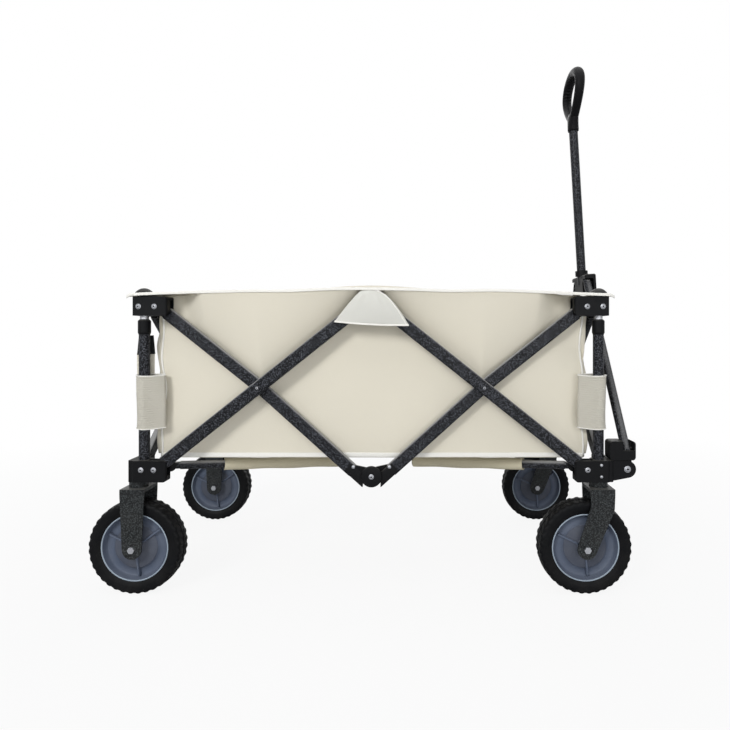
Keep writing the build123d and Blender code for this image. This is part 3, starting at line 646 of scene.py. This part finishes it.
# tyres with shoulder blocks; crown, shoulder and wall are shares of the half section
tread = dict(
    radius=0.0873, half=0.0208, rim=0.0632, blocks=36, cut=0.0017, corner=0.0058, crown=0.42, shoulder=0.2,
    wallFrom=0.62, wall=0.38, domed=0.0008, tucked=0.0036, sweep=1.6,
    blockFrom=(0.12, 0.05), blockTo=(-0.7, 0.06), groove=(0.0022, 0.1, 0.03), line=(0.0006, 0.82, 0.02),
)


def tyreSurface(centre):
    # section s -> (y, r): flat crown, quarter-round shoulder, bulged wall down to the bead, mirrored; blocks
    # cut the shoulder by a soft square wave in the angle, half a block apart on the two sides
    t = tread
    s = np.linspace(-1, 1, 73)
    bend = np.abs(s)
    corner = t["corner"]
    crown = climb(bend, 0, t["crown"])
    turn = climb(bend, t["crown"], t["shoulder"]) * np.pi / 2
    down = climb(bend, t["wallFrom"], t["wall"])
    y = np.sign(s) * ((t["half"] - corner) * crown + corner * np.sin(turn) - t["tucked"] * down ** 2.2)
    top = t["radius"] - t["domed"] * crown ** 2 - corner * (1 - np.cos(turn))
    r = top - (t["radius"] - t["domed"] - corner - t["rim"]) * down
    angle = around(608, False)[:, None]
    shift = np.where(s > 0, np.pi, 0)
    square = np.tanh(1.5 * np.sin(t["blocks"] * angle + shift + t["sweep"] * np.sin(s * 2.2)))
    band = climb(bend, *t["blockFrom"]) * climb(-bend, *t["blockTo"])
    cut = t["cut"] * band * (0.5 - 0.5 * square) + ridge(bend, *t["groove"])
    depth = r - cut - ridge(bend, *t["line"])
    points = joined(depth * np.cos(angle), y, depth * np.sin(angle))
    return dict(points=np.asarray(centre) + points, wrapU=True)


# wheel centres: dished disc, ribs and a narrow pale ring; profiles are (radius, distance out)
wheelHub = dict(
    face=((0.0041, 0.0), (0.0041, 0.0199), (0.0098, 0.0199), (0.0118, 0.0182), (0.0134, 0.0128),
          (0.0165, 0.0112), (0.0393, 0.0104), (0.0405, 0.0096), (0.0417, 0.0058), (0.0542, 0.005),
          (0.0572, 0.0068), (0.0588, 0.0132), (0.0606, 0.0168)),
    ring=((0.0606, 0.0168), (0.061, 0.0178), (0.0618, 0.0182), (0.0627, 0.0179), (0.0631, 0.0171),
          (0.0631, 0.0)),
    ribs=3, phase=0.62, ribFrom=0.0105, ribTo=0.058, ribHalf=0.0021,
    ribMiddle=0.0072, ribDeep=0.0082, ribFall=0.0026,
)


def hubFaces(centre):
    # half profiles from the bore to the rim, mirrored for the far face
    h, grids = wheelHub, []
    for way in (1, -1):
        grids.append(dict(lathe(h["face"], centre, (0, way, 0), 96), look=np.array([2] * 7 + [0] * 5)))
        grids.append(dict(lathe(h["ring"], centre, (0, way, 0), 96), look=1))
    return grids


def hubRibs(centre):
    # rib along a spoke: p = c + r e + w t + d n, lower towards the rim
    h = wheelHub
    turn = around(25)
    along = np.linspace(0, 1, 13)[:, None]
    reach = h["ribFrom"] + (h["ribTo"] - h["ribFrom"]) * along
    close = np.where((along == 0) | (along == 1), 0.0, 1.0)
    wide = close * h["ribHalf"] * squared(np.cos(turn), 0.5)
    deep = h["ribMiddle"] + (h["ribDeep"] - h["ribFall"] * along) * close * squared(np.sin(turn), 0.5)
    grids = []
    for way in (1, -1):
        for step in range(h["ribs"]):
            a = h["phase"] + step * math.tau / h["ribs"]
            x = reach * np.cos(a) - wide * np.sin(a)
            z = reach * np.sin(a) + wide * np.cos(a)
            grids.append(dict(points=np.asarray(centre) + joined(x, way * deep, z)))
    return grids


def addWheels():
    w = wagon
    for end, side in corners:
        x = w["midX"] + (w["postX"] - w["trail"] if end == "front" else -w["postX"] - w["back"])
        centre = (x, sides[side] * w["postY"], w["wheelZ"])
        key, body = f"{end}_{side}", f"{end}_{side}_wheel"
        tyre = newPiece(f"{key}_tread", [tyreSurface(centre)], ["tyre"], body)
        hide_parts(f"{key}_tyre")
        faces = hubFaces(centre) + hubRibs(centre)
        disc = newPiece(f"{key}_disc", faces, ["hub", "ring", "disc"], body)
        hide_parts(f"{key}_hub")


addWheels()
print("tyres and wheel centres turned")


# loop grip on the pull tube, in the leaning plane of the handle
loopGrip = dict(
    footX=0.052, footZ=0.268, lean=3.3, low=0.682, middle=0.7605, halfHigh=0.0505, halfWide=0.0595,
    bow=0.0085, bowFrom=0.012, bowOver=0.12, ridges=32, ridgeHigh=0.0012,
    neckRise=(0, 0, 0.001, 0.004, 0.01, 0.016, 0.024, 0.032, 0.038, 0.041),
    neckDeep=(0, 0.0108, 0.0118, 0.0123, 0.0121, 0.0119, 0.0116, 0.0112, 0.0098, 0),
    neckWide=(0, 0.0118, 0.0128, 0.0134, 0.0142, 0.016, 0.0195, 0.0215, 0.019, 0),
)


def handlePlace(forward, across, rise):
    # from the handle's plane to the wagon: x and z turn back by the lean
    g, w = loopGrip, wagon
    lean = math.radians(g["lean"])
    x = w["midX"] + w["postX"] + g["footX"] + forward * math.cos(lean) - rise * math.sin(lean)
    z = g["footZ"] + forward * math.sin(lean) + rise * math.cos(lean)
    return joined(x, across, z)


def gripBow(rise):
    # the loop leans forward over its height, most at the crown
    g = loopGrip
    return g["bow"] * climb(rise - g["low"], g["bowFrom"], g["bowOver"]) ** 1.3


def gripLoop():
    # drop-shaped ring: y = b sin t (0.78 + 0.3 cos t - 0.08 cos 2t), z = m + a cos t; wide at the crown,
    # with ridges inside, and thinner towards the neck
    g = loopGrip
    turn = around(240, False)
    t, a = np.meshgrid(turn, around(37), indexing="ij")
    y = g["halfWide"] * np.sin(t) * (0.78 + 0.3 * np.cos(t) - 0.08 * np.cos(2 * t))
    z = g["middle"] + g["halfHigh"] * np.cos(t)
    dy, dz = np.gradient(y, axis=0, edge_order=2), -g["halfHigh"] * np.sin(t) * (math.tau / 240)
    run = np.hypot(dy, dz)
    ny, nz = -dz / run, dy / run
    upper = np.clip(0.5 + 0.5 * np.cos(t), 0, 1)
    inward = np.clip(-np.cos(a), 0, 1) ** 2
    teeth = g["ridgeHigh"] * np.sin(g["ridges"] * t) * inward * climb(upper, 0.4, 0.2)
    side = np.cos(a) * (0.0084 + 0.0028 * upper ** 2 + 0.0012 * (1 - upper) ** 3 - teeth)
    deep = 0.009 + 0.0026 * upper + 0.001 * (1 - upper) ** 4
    rise = z + nz * side
    return dict(points=handlePlace(deep * np.sin(a) + gripBow(rise), y + ny * side, rise), wrapU=True)


def gripNeck():
    # socket round the tube: oval rings, forward and sideways radii along the rise
    g = loopGrip
    rise, deep, wide = (np.array(g[part])[:, None] for part in ("neckRise", "neckDeep", "neckWide"))
    rise = rise + g["low"]
    turn = around(41)[None, :]
    return dict(points=handlePlace(deep * np.cos(turn) + gripBow(rise), wide * np.sin(turn), rise))


def addGrip():
    made = newPiece("loop_grip", [gripLoop(), gripNeck()], ["grip"], "handle_yoke")
    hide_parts("grip")


addGrip()
print("grip moulded")


# end sleeves of the lower bars and the round cover over the bottom hub; insets are from the posts' middle
lowHub = dict(
    bend=42.0, start=0.226, stop=0.0172, high=0.0216, deep=0.0152, inset=0.0075, coverInset=0.0005,
    cover=((0, 0.0032), (0.018, 0.0032), (0.0196, 0.0026), (0.0202, 0.0016), (0.0202, 0.0), (0.0162, -0.0004),
           (0, -0.0004)),
)


def endSleeve(end, side):
    # rounded-rectangle section along the bar's bent end, p = crossing + d (cos b, -sin b), cut off upright;
    # each ring has its share of the length and of the full size
    k, w = lowHub, wagon
    b = math.radians(k["bend"])
    turn = around(33)
    share = np.array([0, 0, 0.02, 0.97, 1, 1])[:, None]
    size = np.array([0, 0.97, 1, 1, 0.96, 0])[:, None]
    up = size * k["high"] / 2 * squared(np.sin(turn), 0.3)
    y = sides[side] * (w["postY"] - k["inset"]) + size * k["deep"] / 2 * squared(np.cos(turn), 0.3)
    last = (w["crossX"] - k["stop"] - up * math.sin(b)) / math.cos(b)
    d = k["start"] + (last - k["start"]) * share
    x = w["midX"] + ends[end] * (w["crossX"] - d * math.cos(b) - up * math.sin(b))
    z = w["crossZ"] - d * math.sin(b) + up * math.cos(b)
    return dict(points=joined(x, y, z))


def addLowHubs():
    k, w = lowHub, wagon
    for end, side in corners:
        sy = sides[side]
        grids = [endSleeve(end, side)]
        if end == "rear":
            place = (w["midX"], sy * (w["postY"] - k["coverInset"]), w["lowHubZ"])
            grids.append(lathe(k["cover"], place, (0, sy, 0), 56))
        newPiece(f"{end}_{side}_bar_end", grids, ["bracket"], f"{end}_{side}_hanger")


addLowHubs()
print("bar ends fitted")


# fabric tub: walls, rim, flap, floor and sleeves
tub = dict(
    halfX=0.4083, halfY=0.1905, wallY=0.192, wallX=0.4098, hem=0.2475, rim=0.5592, bow=0.012, tall=0.312,
    rimX=0.4542, rimY=0.2385, endRimX=0.4502, thick=0.0014, billow=0.0036, endBillow=0.0025, leanGap=0.0012,
    rimDip=(0.0022, 0.33, 0.12), edgeReach=0.03, edgeWave=0.0035, edgePull=0.004,
    hemTape=(0.003, 0.0088), hemOut=0.0008, hemUp=0.0052, rimTape=(0.0028, 0.0054),
    seamRadius=0.0021, proud=0.001, ruffleThick=0.0011,
)
folds = dict(slow=0.0014, fine=0.0009, fan=0.0016, fanLines=11, fanReach=0.09, fanFrom=0.02,
             flute=0.0034, flutes=2.6, fluteReach=0.022)


def wrinkles(u, h, wide, seed):
    # depth of the folds: slow waves, pull lines that fan out of the corners, flutes along the end seams
    c = folds
    slow = c["slow"] * np.sin(math.tau * (1.3 * u + 0.55 * h) + seed)
    slow = slow + c["fine"] * np.sin(math.tau * (2.4 * u - 0.8 * h) + 2 * seed)
    fan = np.zeros_like(u)
    for cu in (-1, 1):
        for ch in (0, 1):
            dx, dz = (u - cu) * wide, (h - ch) * tub["tall"]
            away = np.hypot(dx, dz)
            lines = np.sin(c["fanLines"] * np.arctan2(dz, np.abs(dx)) + seed + cu)
            fan += c["fan"] * np.exp(-away / c["fanReach"]) * lines * climb(away, 0, c["fanFrom"])
    seam = np.exp(-(1 - np.abs(u)) * wide / c["fluteReach"])
    flute = c["flute"] * seam * np.sin(math.tau * c["flutes"] * h + 1.1 * seed + u)
    return (slow + fan) * hump(np.clip(h, 0.02, 1)) ** 0.5 + flute * hump(h) ** 0.5


def stripAlong(path, out, size):
    # flat tape carried along a path, its section outwards and upwards: |y/a|^4 + |z/b|^4 = 1
    deep, high = size
    turn = around(17)
    across = (deep / 2 * squared(np.cos(turn), 0.5))[None, :, None]
    up = (high / 2 * squared(np.sin(turn), 0.5))[None, :, None]
    points = path[:, None, :] + across * np.asarray(out, float) + up * np.array([0, 0, 1.0])
    return sheetGrid(pinched(points, points[:, :-1].mean(1, keepdims=True)))


def rimHeight(u):
    # the rim bows up between the corners, with a shallow dip beside the flap
    return tub["rim"] + tub["bow"] * (1 - u ** 2) - ridge(np.abs(u), *tub["rimDip"])


lean = dict(slope=38.5, barRoom=0.014, least=0.012, bracketRoom=0.034, bracketFade=0.06,
            hubHalf=0.012, hubFade=0.014)


def topLean(x, z, top):
    # share of the wall's lean out to the rim's edge: 0 behind bars, hub and brackets, 1 at the rim between
    c, w = lean, wagon
    away = np.abs(x - w["midX"])
    rise = (w["pivotX"] - away) * math.tan(math.radians(c["slope"]))
    free = np.maximum(w["lowZ"] + rise, w["highZ"] - rise) + c["barRoom"]
    share = climb(z, free, np.maximum(top - free, c["least"]))
    clear = climb(w["pivotX"] - c["bracketRoom"], away, c["bracketFade"])
    clear = clear * climb(away, c["hubHalf"], c["hubFade"])
    return (share ** 0.75) * clear * clear * (3 - 2 * clear)


def sideWall(side):
    t, w, sy = tub, wagon, sides[side]
    u, h = gridOf(201, 81)
    top = rimHeight(u * t["halfX"] / t["rimX"])
    edge = np.exp(-(1 - np.abs(u)) * t["halfX"] / t["edgeReach"]) * hump(h)
    pull = t["edgeWave"] * np.sin(math.tau * 2.3 * h + 0.6 * sy + u) - t["edgePull"]
    x = w["midX"] + t["halfX"] * u + edge * np.sign(u) * pull
    out = t["wallY"] + t["billow"] * (1 - u ** 2) * hump(h) + wrinkles(u, h, t["halfX"], 0.7 + sy)
    z = t["hem"] + (top - t["hem"]) * h
    out = out + (t["rimY"] - t["leanGap"] - out) * topLean(x, z, top)
    return joined(x, sy * out, z)


def endWall(end):
    t, w, sx = tub, wagon, ends[end]
    u, h = gridOf(101, 81)
    out = t["wallX"] + t["endBillow"] * (1 - u ** 2) * hump(h) + wrinkles(u, h, t["halfY"], 2.1 + sx)
    z = t["hem"] + (t["rim"] - t["hem"] + roof["lift"]) * h
    return joined(w["midX"] + sx * out, t["halfY"] * u, z)


# cloth roof from the walls out over the brackets, higher over the top hub, turned down at its corners
roof = dict(
    lift=0.0012, arch=0.0016, fall=0.0012, ripple=0.0005, corner=0.0042, cornerFrom=0.986, cornerOver=0.014,
    hubRoom=0.0048, hubReach=0.09, endLift=0.0016, endArch=0.0014, endRipple=0.0004,
)


def sideRim(side):
    # z = rim(u) + arch(v)
    r, t, w, sy = roof, tub, wagon, sides[side]
    u, v = gridOf(161, 15)
    y = t["wallY"] + (t["rimY"] - t["wallY"]) * v
    z = rimHeight(u) + r["lift"] + r["arch"] * hump(v) * (1 - u ** 2)
    z = z - r["fall"] * v * (1 - u ** 8) + r["ripple"] * np.sin(9 * u + 3 * v)
    z = z - r["corner"] * climb(np.abs(u), r["cornerFrom"], r["cornerOver"]) * v ** 2
    z = z + r["hubRoom"] * np.exp(-(u * t["rimX"] / r["hubReach"]) ** 2) * hump(v)
    return joined(w["midX"] + t["rimX"] * u, sy * y, z)


def endRim(end):
    r, t, w, sx = roof, tub, wagon, ends[end]
    u, v = gridOf(81, 13)
    x = t["wallX"] + (t["endRimX"] - t["wallX"]) * v
    z = t["rim"] + r["endLift"] + r["endArch"] * hump(v) + r["endRipple"] * np.sin(8 * u + sx)
    return joined(w["midX"] + sx * x, t["halfY"] * u, z)


flapCut = dict(
    topLeft=-0.018, topRight=0.013, lowLeft=-0.067, lowRight=0.0715, lowLeftZ=0.5105, lowRightZ=0.5035,
    y=0.2398, drop=0.0045, sag=0.0022, crown=0.0012, swell=0.0085, fold=0.0016, ripple=0.0008,
    tape=(0.0026, 0.0034), edgeRadius=0.0013,
)


def flapSurface(side):
    # hood from a short top seam: left edge straight, right edge bowed out, lower hem sagging; its middle
    # swells and two soft folds run down from the seam
    t, f, w, sy = tub, flapCut, wagon, sides[side]
    u, v = gridOf(65, 49, first=0)
    left = f["topLeft"] + (f["lowLeft"] - f["topLeft"]) * v ** 0.88
    right = f["topRight"] + (f["lowRight"] - f["topRight"]) * v ** 0.62
    x = left + (right - left) * u
    low = f["lowLeftZ"] + (f["lowRightZ"] - f["lowLeftZ"]) * u - f["sag"] * hump(u)
    top = rimHeight(x / t["rimX"]) - f["drop"] + f["crown"] * hump(u)
    z = top + (low - top) * v
    swell = f["swell"] * hump(v ** 0.75) ** 0.8 * hump(u) ** 0.8
    crease = np.cos(16 * (u - 0.2)) + np.cos(23 * (u - 0.7))
    crease = f["fold"] * np.exp(-v / 0.35) * crease * np.sin(np.pi * np.clip(v * 3, 0, 1) / 2)
    y = f["y"] + swell + crease * hump(u) + f["ripple"] * np.sin(6 * u + 5 * v)
    return joined(w["midX"] + x, sy * y, z)


def gather(pieces):
    # gives each piece a mesh of its own
    for made in pieces:
        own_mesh(made)


ruffle = dict(wide=0.0105, vary=0.002, lap=0.002, waveX=0.0012, start=0.0002, tuck=0.002, waveY=0.0022)


def seamRuffle(points, k, sy):
    # loose seam allowance past the wall's end: x = end + way (width v - lap), waving along the height
    r, way = ruffle, -1 if k == 0 else 1
    v = np.linspace(0, 1, 13)[:, None]
    edge = points[k, 2:-5]
    h = np.linspace(0, 1, len(edge))[None, :]
    wide = r["wide"] + r["vary"] * np.sin(math.tau * 1.7 * h + k)
    x = edge[None, :, 0] + way * (wide * v - r["lap"] + r["waveX"] * v * np.sin(math.tau * 4.3 * h))
    wave = r["waveY"] * v * np.sin(math.tau * 3.1 * h + 0.7 * k)
    y = edge[None, :, 1] + sy * (r["start"] - r["tuck"] * v + wave)
    return joined(x, y, edge[None, :, 2])


def hangWall(key, points, out, body):
    t = tub
    wall = newCloth(f"{key}_wall", [points], "cloth", body, t["thick"])
    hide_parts(f"{key}_panel")
    path = points[:, 0] + np.array([out[0] * t["hemOut"], out[1] * t["hemOut"], t["hemUp"]])
    return wall, newTape(f"{key}_hem", [stripAlong(path, out, t["hemTape"])], body)


def hangRim(key, points, out, body):
    rim = newCloth(f"{key}_rim", [points], "cloth", body, tub["thick"])
    return rim, newTape(f"{key}_rim_tape", [stripAlong(points[:, -1], out, tub["rimTape"])], body)


def addSides():
    f, t, w = flapCut, tub, wagon
    for side, sy in sides.items():
        body = f"rear_{side}_top"
        out = (0, sy, 0)
        points = sideWall(side)
        wall, hem = hangWall(side, points, out, body)
        proud = np.array([0, sy * t["proud"], 0])
        rolls = [pipe(points[k, 1:-1] + proud, t["seamRadius"], 8) for k in (0, -1)]
        seam = newTape(f"{side}_seams", rolls, body)
        loose = [seamRuffle(points, k, sy) for k in (0, -1)]
        ruffles = newCloth(f"{side}_ruffles", loose, "cloth", body, t["ruffleThick"])
        rim, tape = hangRim(side, sideRim(side), out, body)
        points = flapSurface(side)
        # the flap takes the cloth's painted-light copy, greyer as if lit from above
        flap = newCloth(f"{side}_flap", [points], "skylitHood", body, t["thick"])
        lowEdge = stripAlong(points[:, -1] + proud, out, f["tape"])
        rightEdge = pipe(points[-3] + proud, f["edgeRadius"], 8)
        flapTape = newTape(f"{side}_flap_tape", [lowEdge, rightEdge], body)
        gather((wall, hem, seam, ruffles))
        gather((rim, tape, flap, flapTape))


def addEnds():
    for end, sx in ends.items():
        body = f"{end}_right_top"
        out = (sx, 0, 0)
        wall, hem = hangWall(end, endWall(end), out, body)
        rim, tape = hangRim(end, endRim(end), out, body)
        gather((wall, hem, rim, tape))


addSides()
addEnds()
print("walls and rim hung")


# post sleeves with cross ribs, the rear strap and its tab
sleeve = dict(
    low=0.309, high=0.409, postRadius=0.0128, tailX=0.032, tailY=0.008, tailRadius=0.0042, thick=0.0012,
    ribs=24, ribHigh=0.00028, flare=0.0009, flareReach=0.03, slow=0.0007, tilt=0.0015, hemRadius=0.0011,
)
tab = dict(low=0.404, high=0.4515, lowHalf=0.0165, highHalf=0.017, centre=-0.0035, back=0.0146, thick=0.0014)
strap = dict(low=0.448, high=0.484, lowHalf=0.0172, highHalf=0.014, centre=-0.0025, back=0.0136, thick=0.0018)


def loopOutline(count):
    # tight outline round two circles: for each direction n the point c + r n that reaches furthest
    s = sleeve
    turn = around(721)
    n = np.stack([np.cos(turn), np.sin(turn)], 1)
    tail = np.array([s["tailX"], s["tailY"]])
    nearPost = s["postRadius"] >= n @ tail + s["tailRadius"]
    line = np.where(nearPost[:, None], s["postRadius"] * n, tail + s["tailRadius"] * n)
    run = lengths(line)
    spread = np.linspace(0, run[-1], count)
    return np.stack([np.interp(spread, run, line[:, k]) for k in (0, 1)], 1)


def sleeveSurface(end, side):
    # the outline goes up the post in cross ribs and flares at both hems
    s = sleeve
    outline = loopOutline(97)
    h = np.linspace(0, 1, 169)
    flare = np.exp(-h / s["flareReach"]) + np.exp(-(1 - h) / s["flareReach"])
    rib = s["ribHigh"] * np.sin(math.tau * s["ribs"] * h) + s["flare"] * flare
    away = outline / np.linalg.norm(outline, axis=1)[:, None]
    slow = s["slow"] * np.sin(3 * around(97)[:, None] + 5 * h[None, :])
    flat = outline[:, None, :] + away[:, None, :] * (rib[None, :] + slow)[..., None]
    tilt = s["tilt"] * np.sin(math.tau * np.linspace(0, 1, 97))[:, None]
    z = s["low"] + (s["high"] - s["low"]) * h[None, :] + tilt
    return fromPost(end, side, flat[..., 0], flat[..., 1], z)


def tabSurface(side, cut):
    # tapered tab behind the post, bowed a little away from it
    w, c = wagon, cut
    u, v = gridOf(25, 25)
    x = w["midX"] - w["postX"] + c["centre"] + u * (c["lowHalf"] + (c["highHalf"] - c["lowHalf"]) * v)
    y = sides[side] * (w["postY"] - c["back"] + 0.0016 * u ** 2)
    return joined(x, y, c["low"] + (c["high"] - c["low"]) * v + 0.0008 * u)


def addSleeves():
    for end, side in corners:
        key, body = f"{end}_{side}", f"{end}_{side}_base"
        points = sleeveSurface(end, side)
        loop = newCloth(f"{key}_sleeve", [points], "sleeve", body, sleeve["thick"])
        hems = [pipe(points[:, k], sleeve["hemRadius"], 6) for k in (0, -1)]
        edge = newTape(f"{key}_sleeve_hem", hems, body)
    for side in sides:
        body = f"rear_{side}_base"
        upper = newCloth(f"rear_{side}_tab", [tabSurface(side, tab)], "cloth", body, tab["thick"])
        surface = tabSurface(side, strap)
        band = newCloth(f"rear_{side}_strap", [surface], "strap", body, strap["thick"])


# floor struts' cloth pockets and the floor cloth in four quarters
floorCloth = dict(
    z=0.2496, seamGap=0.0003, edgeGap=0.0008, thick=0.0016, pillow=0.0016, ripple=0.0007, keep=0.16,
    hingeX=0.04, hingeY=0.022, drop=4.0, pocketFrom=0.1, pocketTo=0.344, pocketRadius=0.0108,
    pocketThick=0.001, pocketWave=0.0006, mouth=0.0008, mouthReach=0.006,
)


def strutPoint(end, side, reach):
    # point on a strut, measured from its hinge towards the wagon's middle, dropping a little
    f, w = floorCloth, wagon
    turn = math.atan2(w["pivotY"], w["pivotX"])
    drop = math.radians(f["drop"])
    inX = f["hingeX"] + reach * math.cos(drop) * math.cos(turn)
    inY = f["hingeY"] + reach * math.cos(drop) * math.sin(turn)
    return fromPost(end, side, inX, inY, w["lowZ"] - reach * math.sin(drop))


def floorQuarter(sx, sy):
    f, t = floorCloth, tub
    u, v = gridOf(61, 41, first=0)
    outX, outY = t["halfX"] - f["edgeGap"], t["halfY"] - f["edgeGap"]
    x = wagon["midX"] + sx * (outX - (outX - f["seamGap"]) * u)
    y = sy * (outY - (outY - f["seamGap"]) * v)
    pillow = f["pillow"] * (hump(u) * hump(v)) ** 0.5
    z = f["z"] + pillow + f["ripple"] * np.sin(7 * u + 2 * v + sx) * np.sin(5 * v - sy)
    return joined(x, y, z)


def strutPocket(end, side):
    f = floorCloth
    reach = np.linspace(f["pocketFrom"], f["pocketTo"], 41)
    mouth = f["mouth"] * np.exp(-(reach - f["pocketFrom"]) / f["mouthReach"])
    swell = f["pocketRadius"] + f["pocketWave"] * np.sin(60 * reach) + mouth
    return pipe(strutPoint(end, side, reach), swell, 20)["points"][1:-1]


def addFloor():
    f, w = floorCloth, wagon
    for end, side in corners:
        sx, sy = ends[end], sides[side]
        key, body = f"{end}_{side}", f"{end}_{side}_strut"
        quarter = newCloth(f"{key}_floor", [floorQuarter(sx, sy)], "cloth", body, f["thick"])
        hinge = strutPoint(end, side, 0.0)
        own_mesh(quarter)
        if (end, side) == ("rear", "right"):
            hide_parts("floor_panel")
        # strut pockets in the cloth's painted-shade copy
        pocket = newCloth(f"{key}_pocket", [strutPocket(end, side)], "underside", body, f["pocketThick"])


addSleeves()
addFloor()
print("sleeves and floor made")


print("done")
